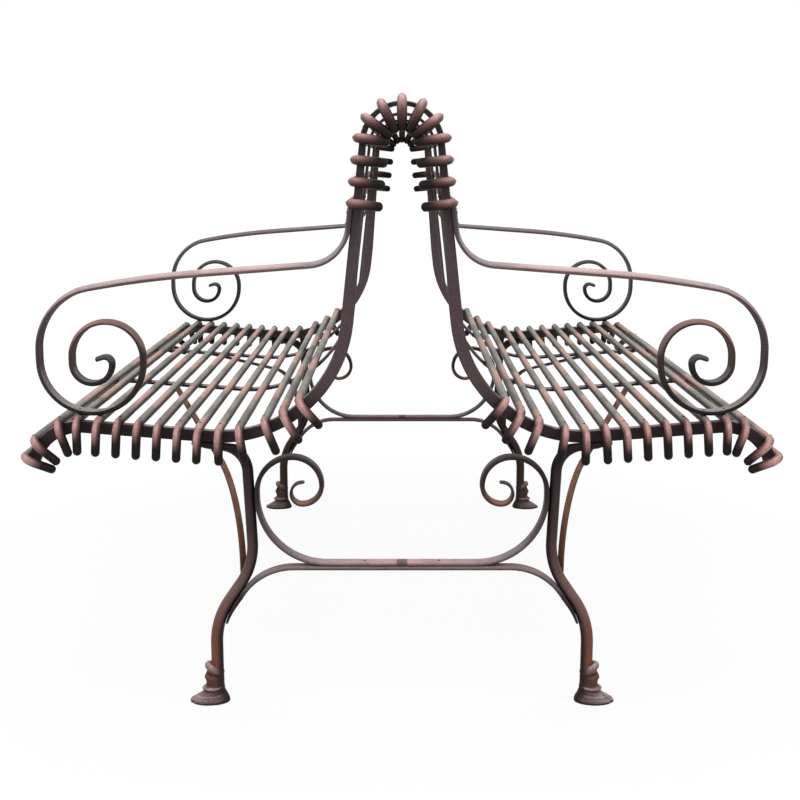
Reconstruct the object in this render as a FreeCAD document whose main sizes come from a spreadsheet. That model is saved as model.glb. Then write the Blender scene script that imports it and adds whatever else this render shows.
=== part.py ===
import FreeCAD, Part
import math
import os
import re
import Sketcher
from FreeCAD import Placement, Rotation, Vector

# Driving sizes of the bench, in millimetres and degrees
sizes = {
    # the two end frames and the overall height
    "frame_span": 1150.0,
    "overall_height": 936.0,
    "seat_height": 438.2,
    "frame_depth": 19.0,
    "frame_thick": 12.0,
    "frame_edge": 2.2,
    # bends of the seat and back line, from the crown down to the front
    "crown_radius": 62.5,
    "upright_lean": 6.3,
    "back_radius": 184.0,
    "seat_slope": 4.35,
    "seat_run": 194.5,
    "front_radius": 85.0,
    "front_drop": 72.0,
    "nose_run": 4.0,
    # the crown of the end frame is drawn out thinner
    "crown_depth": 7.0,
    "spring_depth": 9.5,
    "taper_run": 235.0,
    # flat bearers at the thirds of the length
    "bearer_wide": 20.0,
    "bearer_thick": 5.0,
    "bearer_edge": 1.3,
    # round slats with a finger bent down at each end
    "slat_dia": 13.0,
    "slat_sink": 3.0,
    "slat_bite": 3.8,
    "tip_flat": 0.5,
    "elbow_radius": 20.0,
    "slat_pitch": 30.4,
    "front_gap": 47.6,
    "lumbar_gap": 40.0,
    "crest_pitch": 31.5,
    "crest_clear": 6.5,
    "seat_finger": 59.5,
    "crest_finger": 55.0,
    "front_slat_inset": 3.5,
    # scrolled arms
    "arm_wide": 22.0,
    "arm_thick": 7.2,
    "arm_edge": 2.0,
    "arm_grip": 29.0,
    "arm_shoulder_radius": 62.0,
    "arm_fall": 4.2,
    "arm_bow_radius": 1500.0,
    "arm_bow_turn": 6.5,
    "arm_front_radius": 97.0,
    "arm_drop_run": 15.5,
    "arm_bowl_radius": 79.0,
    "arm_side_run": 6.0,
    "arm_cap_radius": 54.5,
    "arm_inner_run": 9.0,
    "arm_curl_radius": 31.0,
    "arm_eye_radius": 10.5,
    "arm_eye_turn": 108.0,
    "arm_tip_run": 13.0,
    # legs
    "leg_dia": 17.0,
    "foot_spread": 290.0,
    "socket_floor": 34.0,
    "ankle_height": 97.5,
    "calf_radius": 125.0,
    "calf_turn": 34.0,
    "calf_run": 34.0,
    "knee_radius": 110.0,
    "knee_turn": 36.5,
    "hip_radius": 42.0,
    "lap_run": 45.0,
    "lap_flat": 4.5,
    "scarf_long": 30.0,
    "scarf_tip": 6.0,
    # hooves
    "hoof_long": 62.0,
    "hoof_wide": 42.0,
    "hoof_toe": 43.5,
    "sole_thick": 7.0,
    "sole_bevel": 1.5,
    "coronet_height": 19.0,
    "coronet_dia": 33.0,
    "coronet_taper": 1.0,
    "oval_lead": 1.0,
    "coronet_lead": 7.5,
    "band_height": 6.0,
    "pastern_height": 33.0,
    "pastern_dia": 26.0,
    "pastern_lead": 4.0,
    "cuff_dia": 29.0,
    "cuff_height": 20.0,
    "cuff_wall": 3.0,
    "hoof_height": 66.0,
    # the two stretchers at each end
    "stretcher_wide": 20.0,
    "stretcher_thick": 6.6,
    "stretcher_edge": 2.0,
    "curl_tip_run": 4.0,
    "curl_radius": 17.0,
    "curl_inner_radius": 30.0,
    "curl_outer_radius": 44.0,
    "curl_side_radius": 55.3,
    "leg_touch_run": 6.0,
    "bow_radius": 107.0,
    "tail_tip_run": 6.0,
    "tail_turn": 15.0,
    "tail_lap_run": 22.2,
    "tail_radius": 95.0,
    # braces between the legs and the bearers
    "brace_wide": 15.0,
    "brace_thick": 6.0,
    "brace_edge": 2.0,
    "brace_foot": 14.0,
    "brace_radius": 150.0,
    "brace_turn": 75.0,
    "brace_lap_radius": 60.0,
    "brace_end": 14.0,
    # rivets and fits
    "rivet_dia": 5.0,
    "rivet_dome": 1.2,
    "rivet_bite": 8.0,
    "leg_bite": 5.0,
    "dome_sink": 0.3,
    "drill_lead": 2.0,
    "fit_gap": 0.1,
}
seat_slats = 15
front_seat_slats = 2
flat_seat_slats = 12
arm_slats = (4, 5)
brace_slats = (6, 7)
# places of the two rivets along an arm's grip and along a leg's lap
grip_shares = (0.25, 0.8)
lap_shares = (0.3, 0.8)

doc = FreeCAD.newDocument("garden_bench")
sheet = doc.addObject("Spreadsheet::Sheet", "Sizes")


def set_size(alias, amount):
    row = len(sheet.getUsedCells()) // 2 + 1
    sheet.set("A%d" % row, alias.replace("_", " "))
    sheet.set("B%d" % row, str(amount))
    sheet.setAlias("B%d" % row, alias)


def derived(alias, amount):
    # a size that follows from the others
    set_size(alias, amount)
    doc.recompute()


for alias, amount in sizes.items():
    set_size(alias, amount)
doc.recompute()


def bound(text):
    return re.sub(r"[a-z][a-z_]+", lambda found: "Sizes." + found.group(), text)


def value(text):
    return float(sheet.evalExpression(bound(text)))


def run(length):
    return ("run", length)


def left(radius, angle):
    return ("left", radius, angle)


def right(radius, angle):
    return ("right", radius, angle)


def heading_vector(heading):
    return Vector(math.cos(heading), math.sin(heading), 0)


def bend(spot, heading, step, share=1.0):
    # end point and heading after a share of one straight run or one bend
    if step[0] == "run":
        return spot + heading_vector(heading) * value(step[1]) * share, heading
    side = 1 if step[0] == "left" else -1
    radius = value(step[1])
    turn = math.radians(value(step[2])) * share * side
    centre = spot + heading_vector(heading + side * math.pi / 2) * radius
    last = heading + turn
    return centre - heading_vector(last + side * math.pi / 2) * radius, last


def walk(spot, heading, steps):
    for step in steps:
        spot, heading = bend(spot, heading, step)
    return spot, heading


def step_length(step):
    if step[0] == "run":
        return value(step[1])
    return value(step[1]) * math.radians(value(step[2]))


def station(spot, heading, steps, distance):
    # point and heading at a distance along a line of runs and bends
    for step in steps:
        length = step_length(step)
        if distance <= length:
            return bend(spot, heading, step, distance / length)
        distance -= length
        spot, heading = bend(spot, heading, step)
    return spot + heading_vector(heading) * distance, heading


def new_body(label):
    body = doc.addObject("PartDesign::Body", label)
    body.Label = label
    return body


def new_sketch(body, label, role):
    sketch = body.newObject("Sketcher::SketchObject", label)
    plane = next(item for item in body.Origin.OriginFeatures if item.Role == role)
    sketch.AttachmentSupport = [(plane, "")]
    sketch.MapMode = "FlatFace"
    return sketch


def constrain(sketch, text, *terms):
    # a dimension that follows the sheet
    amount = value(text)
    if terms[0] == "Angle":
        amount = math.radians(amount)
    index = sketch.addConstraint(Sketcher.Constraint(*terms, amount))
    sketch.setExpression("Constraints[%d]" % index, bound(text))


def path_sketch(body, label, steps):
    # runs and bends joined end to end, starting at the origin along X
    sketch = new_sketch(body, label, "XZ_Plane")
    spot, heading = Vector(0, 0, 0), 0.0
    tail = None
    for index, step in enumerate(steps):
        end, last = bend(spot, heading, step)
        head_point, tail_point = 1, 2
        if step[0] == "run":
            sketch.addGeometry(Part.LineSegment(spot, end))
        else:
            side = 1 if step[0] == "left" else -1
            radius = value(step[1])
            centre = spot + heading_vector(heading + side * math.pi / 2) * radius
            angles = [heading - side * math.pi / 2, last - side * math.pi / 2]
            if side < 0:
                angles.reverse()
                head_point, tail_point = 2, 1
            circle = Part.Circle(centre, Vector(0, 0, 1), radius)
            sketch.addGeometry(Part.ArcOfCircle(circle, angles[0], angles[1]))
        if tail is None:
            sketch.addConstraint(Sketcher.Constraint("Coincident", 0, 1, -1, 1))
            sketch.addConstraint(Sketcher.Constraint("Horizontal", 0))
        else:
            sketch.addConstraint(Sketcher.Constraint("Tangent", *tail, index, head_point))
        if step[0] == "run":
            constrain(sketch, step[1], "Distance", index)
        else:
            constrain(sketch, step[1], "Radius", index)
            constrain(sketch, step[2], "Angle", index)
        tail = (index, tail_point)
        spot, heading = end, last
    return sketch


def flat_section(body, label, wide, deep, edge):
    # rectangle with rounded corners across the start of a bar
    sketch = new_sketch(body, label, "YZ_Plane")
    x, y, r = value(wide) / 2, value(deep) / 2, value(edge)
    corners = [(x - r, -y + r), (x - r, y - r), (-x + r, y - r), (-x + r, -y + r)]
    reach = [(0, -r), (r, 0), (0, r), (-r, 0)]
    for index in range(4):
        before = Vector(*corners[index - 1]) + Vector(*reach[index])
        after = Vector(*corners[index]) + Vector(*reach[index])
        sketch.addGeometry(Part.LineSegment(before, after))
        circle = Part.Circle(Vector(*corners[index]), Vector(0, 0, 1), r)
        start = (index - 1) * math.pi / 2
        sketch.addGeometry(Part.ArcOfCircle(circle, start, start + math.pi / 2))
    for index in range(8):
        following = (index + 1) % 8
        sketch.addConstraint(Sketcher.Constraint("Tangent", index, 2, following, 1))
    for index, kind in ((0, "Horizontal"), (2, "Vertical"), (4, "Horizontal"), (6, "Vertical")):
        sketch.addConstraint(Sketcher.Constraint(kind, index))
    for index in (3, 5, 7):
        sketch.addConstraint(Sketcher.Constraint("Equal", 1, index))
    sketch.addConstraint(Sketcher.Constraint("Symmetric", 0, 1, 4, 1, -1, 1))
    constrain(sketch, edge, "Radius", 1)
    constrain(sketch, wide, "DistanceX", 6, 1, 2, 1)
    constrain(sketch, deep, "DistanceY", 0, 1, 4, 1)
    return sketch


def round_section(body, label, diameter):
    sketch = new_sketch(body, label, "YZ_Plane")
    sketch.addGeometry(Part.Circle(Vector(0, 0, 0), Vector(0, 0, 1), value(diameter) / 2))
    sketch.addConstraint(Sketcher.Constraint("Coincident", 0, 3, -1, 1))
    constrain(sketch, diameter, "Diameter", 0)
    return sketch


def bent_bar(label, steps, section, spot=Vector(0, 0, 0), heading=0.0):
    # one bar bent along its runs, set down in the plane across the bench
    body = new_body(label)
    path = path_sketch(body, label + "_path", steps)
    profile = section(body, label + "_section")
    pipe = body.newObject("PartDesign::AdditivePipe", label + "_bar")
    pipe.Profile = profile
    pipe.Spine = path
    turn = Rotation(Vector(0, 1, 0), -math.degrees(heading))
    body.Placement = Placement(Vector(spot.x, 0, spot.y), turn)
    return body


def drilled(base, label, holes):
    # rivet holes: each has a start, a direction in the X-Z plane or in space, and a depth
    tools = []
    for number, (start, along, depth) in enumerate(holes, 1):
        hole = doc.addObject("Part::Cylinder", "%s_hole_%02d" % (label, number))
        hole.setExpression("Radius", bound("rivet_dia / 2"))
        hole.Height = depth
        hole.Placement = Placement(start, Rotation(Vector(0, 0, 1), along))
        tools.append(hole)
    holes_together = doc.addObject("Part::Compound", label + "_holes")
    holes_together.Links = tools
    cut = doc.addObject("Part::Cut", label + "_drilled")
    cut.Base = base
    cut.Tool = holes_together
    return cut


nodes = []


def placed(source, label, placement):
    # one finished piece of the bench in its own place
    piece = doc.addObject("Part::Compound", label)
    piece.Label = label
    piece.Links = [source]
    piece.Placement = placement
    nodes.append(piece)
    return piece


def in_plane(point, y=0.0):
    return Vector(point.x, y, point.y)


half_span = value("frame_span / 2")
half_turn = Rotation(Vector(0, 0, 1), 180)
corners = {
    "left_near": Placement(Vector(0, -half_span, 0), Rotation()),
    "left_far": Placement(Vector(0, half_span, 0), Rotation()),
    "right_near": Placement(Vector(0, -half_span, 0), half_turn),
    "right_far": Placement(Vector(0, half_span, 0), half_turn),
}
ends = {"near": Vector(0, -half_span, 0), "far": Vector(0, half_span, 0)}
thirds = {"near": Vector(0, -half_span / 3, 0), "far": Vector(0, half_span / 3, 0)}


# Seat and back line, followed from the crown down the left side to the front
def left_line(offset):
    return [
        left("crown_radius - (%s)" % offset, "90 - upright_lean"),
        run("upright_run"),
        right("back_radius + (%s)" % offset, "90 - upright_lean + seat_slope"),
        run("seat_run"),
        left("front_radius - (%s)" % offset, "front_drop + seat_slope"),
        run("nose_run"),
    ]


def crown_point(offset):
    return Vector(0, value("overall_height - slat_dia + slat_sink - (%s)" % offset), 0)


# the uprights take up what the seat and the crown leave of the height
crown_step, upright_step, back_step = left_line("0")[:3]
lean = math.radians(value("upright_lean"))
crown_and_back = walk(crown_point("0"), math.pi, [crown_step, back_step])[0]
derived("upright_run", (crown_and_back.y - value("seat_height")) / math.cos(lean))


def on_line(offset, distance):
    return station(crown_point(offset), math.pi, left_line(offset), distance)


def bench_bar(label, offset, section):
    # a bar that follows the whole line from the left front to the right front
    half = left_line(offset)
    spot, heading = walk(crown_point(offset), math.pi, half)
    swap = {"left": "right", "right": "left", "run": "run"}
    falling = [(swap[step[0]],) + step[1:] for step in half[1:]]
    crown = right("crown_radius - (%s)" % offset, "180 - 2 * upright_lean")
    steps = falling[::-1] + [crown] + falling
    return bent_bar(label, steps, section, spot, heading + math.pi)


# Slat positions on the left, each a point, an outward direction and a name
slat_line = "slat_sink - slat_dia / 2"


def slat_seat(distance):
    point, heading = on_line(slat_line, distance)
    outward = heading_vector(heading - math.pi / 2)
    return in_plane(point), in_plane(outward)


line_length = sum(step_length(step) for step in left_line(slat_line))
front_distance = line_length - value("nose_run + front_slat_inset")
seat_places = []
for number in range(1, seat_slats + 1):
    distance = front_distance - (number - 1) * value("slat_pitch")
    if number > front_seat_slats:
        distance -= value("front_gap - slat_pitch")
    if number > flat_seat_slats:
        distance -= value("lumbar_gap - slat_pitch")
    seat_places.append(slat_seat(distance))


def mirrored(vector):
    return Vector(-vector.x, vector.y, vector.z)


# Arms, gripping the upright and resting on two slats with the bowl of the scroll
arm_offset = "0 - arm_thick / 2 - fit_gap"
grip_top, grip_heading = walk(crown_point(arm_offset), math.pi, left_line(arm_offset)[:1])
shoulder = [
    run("arm_grip"),
    right("arm_shoulder_radius", "90 - upright_lean - arm_fall"),
]
scroll_front = [
    left("arm_bow_radius", "arm_bow_turn"),
    left("arm_front_radius", "90 - arm_fall - arm_bow_turn"),
    run("arm_drop_run"),
]
scroll_eye = [
    left("arm_bowl_radius", "180"),
    run("arm_side_run"),
    left("arm_cap_radius", "180"),
    run("arm_inner_run"),
    left("arm_curl_radius", "180"),
    left("arm_eye_radius", "arm_eye_turn"),
    run("arm_tip_run"),
]
outer_slat, inner_slat = (seat_places[number - 1][0] for number in arm_slats)
slat_gap = inner_slat - outer_slat
bowl_reach = value("arm_bowl_radius + arm_thick / 2 + slat_dia / 2 + fit_gap")
bowl_rise = math.sqrt(bowl_reach ** 2 - (slat_gap.Length / 2) ** 2)
slat_up = Vector(0, -1, 0).cross(slat_gap).normalize()
bowl_centre = (outer_slat + inner_slat) * 0.5 + slat_up * bowl_rise
shoulder_end, arm_heading = walk(grip_top, grip_heading, shoulder)
front_end = walk(shoulder_end, arm_heading, scroll_front)[0]
missing = Vector(bowl_centre.x - value("arm_bowl_radius"), bowl_centre.z, 0) - front_end
slide = heading_vector(grip_heading)
reach = heading_vector(arm_heading)
across = slide.x * reach.y - slide.y * reach.x
grip_drop = (missing.x * reach.y - missing.y * reach.x) / across
derived("arm_reach", (slide.x * missing.y - slide.y * missing.x) / across)
arm_start = grip_top + slide * grip_drop
arm_bar = bent_bar(
    "arm_bar",
    shoulder + [run("arm_reach")] + scroll_front + scroll_eye,
    lambda owner, name: flat_section(owner, name, "arm_wide", "arm_thick", "arm_edge"),
    arm_start,
    grip_heading,
)

# Crest slats, from the crown down to the arms
crest_reach = step_length(left_line(slat_line)[0]) + grip_drop - value("crest_clear")
crest_half = int(crest_reach // value("crest_pitch"))
crest_places = [slat_seat(step * value("crest_pitch")) for step in range(crest_half + 1)]


def slat_body(label, finger):
    # round bar with a rounded elbow and a finger at each end, rounded off at the tips
    straight = "%s - slat_dia / 2 - elbow_radius" % finger
    between = "frame_span + frame_thick"
    elbow = left("elbow_radius", "90")
    steps = [run(straight), elbow, run(between), elbow, run(straight)]
    body = bent_bar(label, steps, lambda owner, name: round_section(owner, name, "slat_dia"))
    doc.recompute()
    bar = body.Tip
    tips = []
    for number, edge in enumerate(bar.Shape.Edges, 1):
        on_end = abs(edge.BoundBox.XMin) < 0.001 and abs(edge.BoundBox.XMax) < 0.001
        if on_end:
            tips.append("Edge%d" % number)
    dome = body.newObject("PartDesign::Fillet", label + "_tips")
    dome.Base = (bar, tips)
    dome.setExpression("Radius", bound("(slat_dia - tip_flat) / 2"))
    pins = new_sketch(body, label + "_end_holes", "YZ_Plane")
    blind = new_sketch(body, label + "_bearer_holes", "YZ_Plane")
    axis = "%s - slat_dia / 2" % finger
    blind.setExpression("AttachmentOffset.Base.z", bound(axis))
    rows = {
        pins: ("elbow_radius + frame_thick / 2", "elbow_radius + frame_thick / 2 + frame_span"),
        blind: ("elbow_radius + frame_thick / 2 + frame_span / 3",
                "elbow_radius + frame_thick / 2 + frame_span * 2 / 3"),
    }
    for sketch, heights in rows.items():
        for index, height in enumerate(heights):
            circle = Part.Circle(Vector(0, value(height), 0), Vector(0, 0, 1), value("rivet_dia / 2"))
            sketch.addGeometry(circle)
            sketch.addConstraint(Sketcher.Constraint("PointOnObject", index, 3, -2))
            constrain(sketch, "rivet_dia", "Diameter", index)
            constrain(sketch, height, "DistanceY", -1, 1, index, 3)
    through = body.newObject("PartDesign::Pocket", label + "_end_drill")
    through.Profile = pins
    through.Type = "ThroughAll"
    through.Midplane = True
    socket = body.newObject("PartDesign::Pocket", label + "_bearer_drill")
    socket.Profile = blind
    socket.setExpression("Length", bound("slat_dia"))
    body.Tip = socket
    return body


def slat_placement(point, outward, finger):
    axis = value("%s - slat_dia / 2" % finger)
    along = Vector(0, 1, 0)
    turn = Rotation(outward, along.cross(outward), along, "XZY")
    near_finger = half_span + value("frame_thick / 2 + elbow_radius")
    return Placement(point - outward * axis - along * near_finger, turn)


seat_slat = slat_body("seat_slat", "seat_finger")
crest_slat = slat_body("crest_slat", "crest_finger")
for side, flip in (("left", lambda vector: vector), ("right", mirrored)):
    for number, (point, outward) in enumerate(seat_places, 1):
        spot = slat_placement(flip(point), flip(outward), "seat_finger")
        placed(seat_slat, "%s_seat_slat_%02d" % (side, number), spot)
crest_all = crest_places + [(mirrored(point), mirrored(out)) for point, out in crest_places[1:]]
crest_members = []
for number, (point, outward) in enumerate(crest_all, 1):
    member = doc.addObject("Part::Compound", "crest_member_%02d" % number)
    member.Links = [crest_slat]
    member.Placement = slat_placement(point, outward, "crest_finger")
    crest_members.append(member)
crest_group = doc.addObject("Part::Compound", "crest_slats")
crest_group.Label = "crest_slats"
crest_group.Links = crest_members
nodes.append(crest_group)


# Legs, bent up from the foot to lie along the underside of the seat rail
foot = Vector(-value("foot_spread"), value("socket_floor"), 0)
lower_leg = [
    run("ankle_height - socket_floor"),
    right("calf_radius", "calf_turn"),
    run("calf_run"),
    left("knee_radius", "knee_turn"),
]
hip = left("hip_radius", "90 - seat_slope + calf_turn - knee_turn")
lap_offset = "frame_depth + leg_dia / 2 - lap_flat + fit_gap"
rail_point, rail_heading = walk(crown_point(lap_offset), math.pi, left_line(lap_offset)[:3])
rail_up = heading_vector(rail_heading - math.pi / 2)
knee_point, shank_heading = walk(foot, math.pi / 2, lower_leg)
hip_point = bend(knee_point, shank_heading, hip)[0]
rise = (rail_point - hip_point).dot(rail_up)
derived("shank_run", rise / heading_vector(shank_heading).dot(rail_up))
leg_steps = lower_leg + [run("shank_run"), hip, run("lap_run")]
leg_bar = bent_bar(
    "leg_bar",
    leg_steps,
    lambda owner, name: round_section(owner, name, "leg_dia"),
    foot,
    math.pi / 2,
)


# the lap is forged flat against the rail, and its end is scarfed thin on the underside
lap_end, lap_heading = walk(foot, math.pi / 2, leg_steps)
lap_back, lap_up = in_plane(heading_vector(lap_heading) * -1), in_plane(rail_up)
flat_box = doc.addObject("Part::Box", "leg_flat")
flat_box.setExpression("Length", bound("lap_run + hip_radius * 2"))
flat_box.setExpression("Width", bound("leg_dia * 2"))
flat_box.setExpression("Height", bound("leg_dia"))
flat_turn = Rotation(lap_back, lap_up.cross(lap_back), lap_up, "XZY")
flat_corner = Vector(-value("leg_dia"), -value("leg_dia"), value("leg_dia / 2 - lap_flat"))
flat_box.Placement = Placement(in_plane(lap_end) + flat_turn.multVec(flat_corner), flat_turn)
leg_flattened = doc.addObject("Part::Cut", "leg_flattened")
leg_flattened.Base = leg_bar
leg_flattened.Tool = flat_box
scarf_slope = math.atan2(value("leg_dia - lap_flat - scarf_tip"), value("scarf_long"))
scarf_start = lap_end + rail_up * value("leg_dia / 2 - lap_flat - scarf_tip")
scarf_box = doc.addObject("Part::Box", "leg_scarf")
scarf_box.setExpression("Length", bound("scarf_long * 2"))
scarf_box.setExpression("Width", bound("leg_dia * 2"))
scarf_box.setExpression("Height", bound("leg_dia * 2"))
scarf_turn = Rotation(Vector(0, 1, 0), math.degrees(math.pi - lap_heading + scarf_slope))
box_corner = Vector(-value("scarf_long") * 0.5, -value("leg_dia"), -value("leg_dia * 2"))
scarf_box.Placement = Placement(
    in_plane(scarf_start) + scarf_turn.multVec(box_corner), scarf_turn
)
leg_scarfed = doc.addObject("Part::Cut", "leg_scarfed")
leg_scarfed.Base = leg_flattened
leg_scarfed.Tool = scarf_box


def leg_at(height):
    # centre of the leg at a height
    low, high = 0.0, sum(step_length(step) for step in leg_steps[:5])
    for halving in range(40):
        middle = (low + high) / 2
        if station(foot, math.pi / 2, leg_steps, middle)[0].y < height:
            low = middle
        else:
            high = middle
    return station(foot, math.pi / 2, leg_steps, low)[0]


# Lower stretcher, its tails lapped along the inner side of the calves
side_by_leg = "leg_dia / 2 + stretcher_thick / 2 + fit_gap"
calf_point, calf_heading = walk(foot, math.pi / 2, leg_steps[:2])
calf_inward = heading_vector(calf_heading - math.pi / 2)
tail_steps = [
    run("tail_tip_run"),
    right("calf_radius - (%s)" % side_by_leg, "tail_turn"),
    run("tail_lap_run"),
    right("tail_radius", "90 - calf_turn"),
]
tail_heading = calf_heading + math.radians(value("tail_turn"))
tail_lap = walk(Vector(0, 0, 0), tail_heading, tail_steps[:2])[0]
tail_point = calf_point + calf_inward * value(side_by_leg) - tail_lap
run_point = walk(tail_point, tail_heading, tail_steps)[0]
derived("lower_run", -2 * run_point.x)
lower_bar = bent_bar(
    "lower_stretcher_bar",
    tail_steps + [run("lower_run")] + tail_steps[::-1],
    lambda owner, name: flat_section(
        owner, name, "stretcher_wide", "stretcher_thick", "stretcher_edge"
    ),
    tail_point,
    tail_heading,
)

# Upper stretcher, scrolled at both ends, lying on the lower one
upper_height = run_point.y + value("stretcher_thick + fit_gap")
touch_low = upper_height + value("bow_radius")
touch_x = leg_at(touch_low).x + value(side_by_leg)
derived("upper_run", -2 * (touch_x + value("bow_radius")))
scroll_steps = [
    run("curl_tip_run"),
    left("curl_radius", "180"),
    left("curl_inner_radius", "90"),
    left("curl_outer_radius", "90"),
    left("curl_side_radius", "90"),
    run("leg_touch_run"),
    left("bow_radius", "90"),
]
scroll_end = walk(Vector(0, 0, 0), math.pi, scroll_steps)[0]
upper_start = Vector(-value("upper_run") / 2, upper_height, 0) - scroll_end
upper_bar = bent_bar(
    "upper_stretcher_bar",
    scroll_steps + [run("upper_run")] + scroll_steps[::-1],
    lambda owner, name: flat_section(
        owner, name, "stretcher_wide", "stretcher_thick", "stretcher_edge"
    ),
    upper_start,
    math.pi,
)

# Braces, each in an upright plane from the back of a leg to the bearer
bearer_under = "bearer_thick + brace_thick / 2 + fit_gap"
brace_top = (seat_places[brace_slats[0] - 1][0] + seat_places[brace_slats[1] - 1][0]) * 0.5
brace_out = (seat_places[brace_slats[0] - 1][1] + seat_places[brace_slats[1] - 1][1]) * 0.5
brace_top = brace_top - brace_out * value("slat_dia / 2 + " + bearer_under)
brace_rise = [run("brace_foot"), right("brace_radius", "brace_turn")]
brace_flat = [right("brace_lap_radius", "90 - brace_turn"), run("brace_end")]
bent_end, bent_heading = walk(Vector(0, 0, 0), math.pi / 2, brace_rise)
flat_end = walk(bent_end, bent_heading, brace_flat)[0]
brace_start = Vector(0, value("ankle_height"), 0)
for settling in range(12):
    leg_spot = leg_at(brace_start.y)
    plan = Vector(brace_top.x - leg_spot.x, value("frame_span / 3"), 0)
    stand_off = value("leg_dia / 2 + brace_thick / 2 + fit_gap")
    brace_run = (plan.Length - stand_off - flat_end.x) / math.cos(bent_heading)
    brace_start.y = brace_top.z - flat_end.y - brace_run * math.sin(bent_heading)
derived("brace_run", brace_run)
plan.normalize()
brace_bar = bent_bar(
    "brace_bar",
    brace_rise + [run("brace_run")] + brace_flat,
    lambda owner, name: flat_section(owner, name, "brace_wide", "brace_thick", "brace_edge"),
)
plan_angle = math.degrees(math.atan2(plan.y, plan.x))
brace_swing = Rotation(Vector(0, 0, 1), plan_angle)
brace_spot = Vector(leg_spot.x, 0, brace_start.y) + plan * stand_off
brace_bar.Placement = Placement(brace_spot, brace_swing * Rotation(Vector(0, 1, 0), -90))

# End frame and bearer bars
frame_bar = bench_bar(
    "frame_bar",
    "frame_depth / 2",
    lambda owner, name: flat_section(owner, name, "frame_thick", "frame_depth", "frame_edge"),
)
bearer_bar = bench_bar(
    "bearer_bar",
    "slat_sink + bearer_thick / 2",
    lambda owner, name: flat_section(owner, name, "bearer_wide", "bearer_thick", "bearer_edge"),
)

# The inside of the crown is drawn out thinner towards the top
relief = new_body("crown_relief")
relief_sketch = new_sketch(relief, "crown_relief_outline", "XZ_Plane")
relief_radius = value("crown_radius - spring_depth")
relief_centre = crown_point("crown_depth") - Vector(0, relief_radius, 0)
crown_quarter = step_length(left_line("frame_depth")[0])
taper_end = on_line("frame_depth", crown_quarter + value("taper_run"))[0]
relief_circle = Part.Circle(relief_centre, Vector(0, 0, 1), relief_radius)
relief_arc = Part.ArcOfCircle(relief_circle, -lean, math.pi + lean)
outline = [relief_arc.EndPoint, taper_end, mirrored(taper_end), relief_arc.StartPoint]
relief_sketch.addGeometry(relief_arc)
for first, second in zip(outline, outline[1:]):
    relief_sketch.addGeometry(Part.LineSegment(first, second))
for index in range(4):
    relief_sketch.addConstraint(Sketcher.Constraint("Coincident", index, 2, (index + 1) % 4, 1))
relief_sketch.addConstraint(Sketcher.Constraint("PointOnObject", 0, 3, -2))
relief_sketch.addConstraint(Sketcher.Constraint("Symmetric", 0, 1, 0, 2, -2))
relief_sketch.addConstraint(Sketcher.Constraint("Symmetric", 1, 2, 2, 2, -2))
derived("taper_half", -taper_end.x)
derived("taper_height", taper_end.y)
constrain(relief_sketch, "crown_radius - spring_depth", "Radius", 0)
constrain(relief_sketch, "180 + 2 * upright_lean", "Angle", 0)
relief_low = "overall_height - slat_dia + slat_sink - crown_depth - crown_radius + spring_depth"
constrain(relief_sketch, relief_low, "DistanceY", -1, 1, 0, 3)
constrain(relief_sketch, "2 * taper_half", "DistanceX", 1, 2, 2, 2)
constrain(relief_sketch, "taper_height", "DistanceY", -1, 1, 2, 2)
relief_pad = relief.newObject("PartDesign::Pad", "crown_relief_pad")
relief_pad.Profile = relief_sketch
relief_pad.Midplane = True
relief_pad.setExpression("Length", bound("frame_thick * 2"))
thinned = doc.addObject("Part::Cut", "frame_thinned")
thinned.Base = frame_bar
thinned.Tool = relief

# Rivets: a pin with a low domed end; each is kept as dome seat, outward direction, length
slat_radius = value("slat_dia / 2")
bite = value("rivet_bite")
slat_bite = value("slat_bite")
both_sides = (lambda vector: vector, mirrored)


def both(spots):
    return [tuple(flip(part) for part in spot) for flip in both_sides for spot in spots]


every_place = both(seat_places) + crest_all
arm_places = both([seat_places[number - 1] for number in arm_slats])
plain_places = [place for place in every_place if place not in arm_places]


def pin(seat, outward, length):
    radius = value("rivet_dia / 2")
    dome = value("rivet_dome")
    rim, top = Vector(radius, 0, length), Vector(0, 0, length + dome)
    ball = (radius ** 2 + dome ** 2) / (2 * dome)
    slope = math.asin(radius / ball) / 2
    shoulder_point = top + Vector(ball * math.sin(slope), 0, ball * math.cos(slope) - ball)
    edges = [
        Part.makeLine(Vector(0, 0, 0), Vector(radius, 0, 0)),
        Part.makeLine(Vector(radius, 0, 0), rim),
        Part.Arc(rim, shoulder_point, top).toShape(),
        Part.makeLine(top, Vector(0, 0, 0)),
    ]
    solid = Part.Face(Part.Wire(edges)).revolve(Vector(0, 0, 0), Vector(0, 0, 1), 360)
    solid.Placement = Placement(seat - outward * length, Rotation(Vector(0, 0, 1), outward))
    return solid


dome_sink = value("dome_sink")
slat_pins = [
    (point + out * (slat_radius - dome_sink), out, 2 * slat_radius - dome_sink + slat_bite)
    for point, out in plain_places
]
bearer_pins = [
    (point - out * (slat_radius + value("bearer_thick")), -out, slat_radius + value("bearer_thick"))
    for point, out in every_place
]
bowl_inside = value("arm_bowl_radius - arm_thick / 2")
arm_pins = []
for point, out in arm_places:
    centre = bowl_centre if point.x < 0 else mirrored(bowl_centre)
    toward = centre - point
    along = toward.dot(out)
    aside = toward.Length ** 2 - along ** 2
    height = along - math.sqrt(bowl_inside ** 2 - aside)
    arm_pins.append((point + out * height, out, height + slat_radius + slat_bite))
grip_out = in_plane(heading_vector(grip_heading - math.pi / 2))
grip_face = value("arm_thick / 2")
for share in grip_shares:
    middle = in_plane(arm_start + slide * value("arm_grip") * share)
    arm_pins += both([(middle + grip_out * grip_face, grip_out)])
arm_pins = [
    spot if len(spot) == 3 else spot + (value("arm_thick + fit_gap") + bite,) for spot in arm_pins
]
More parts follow.
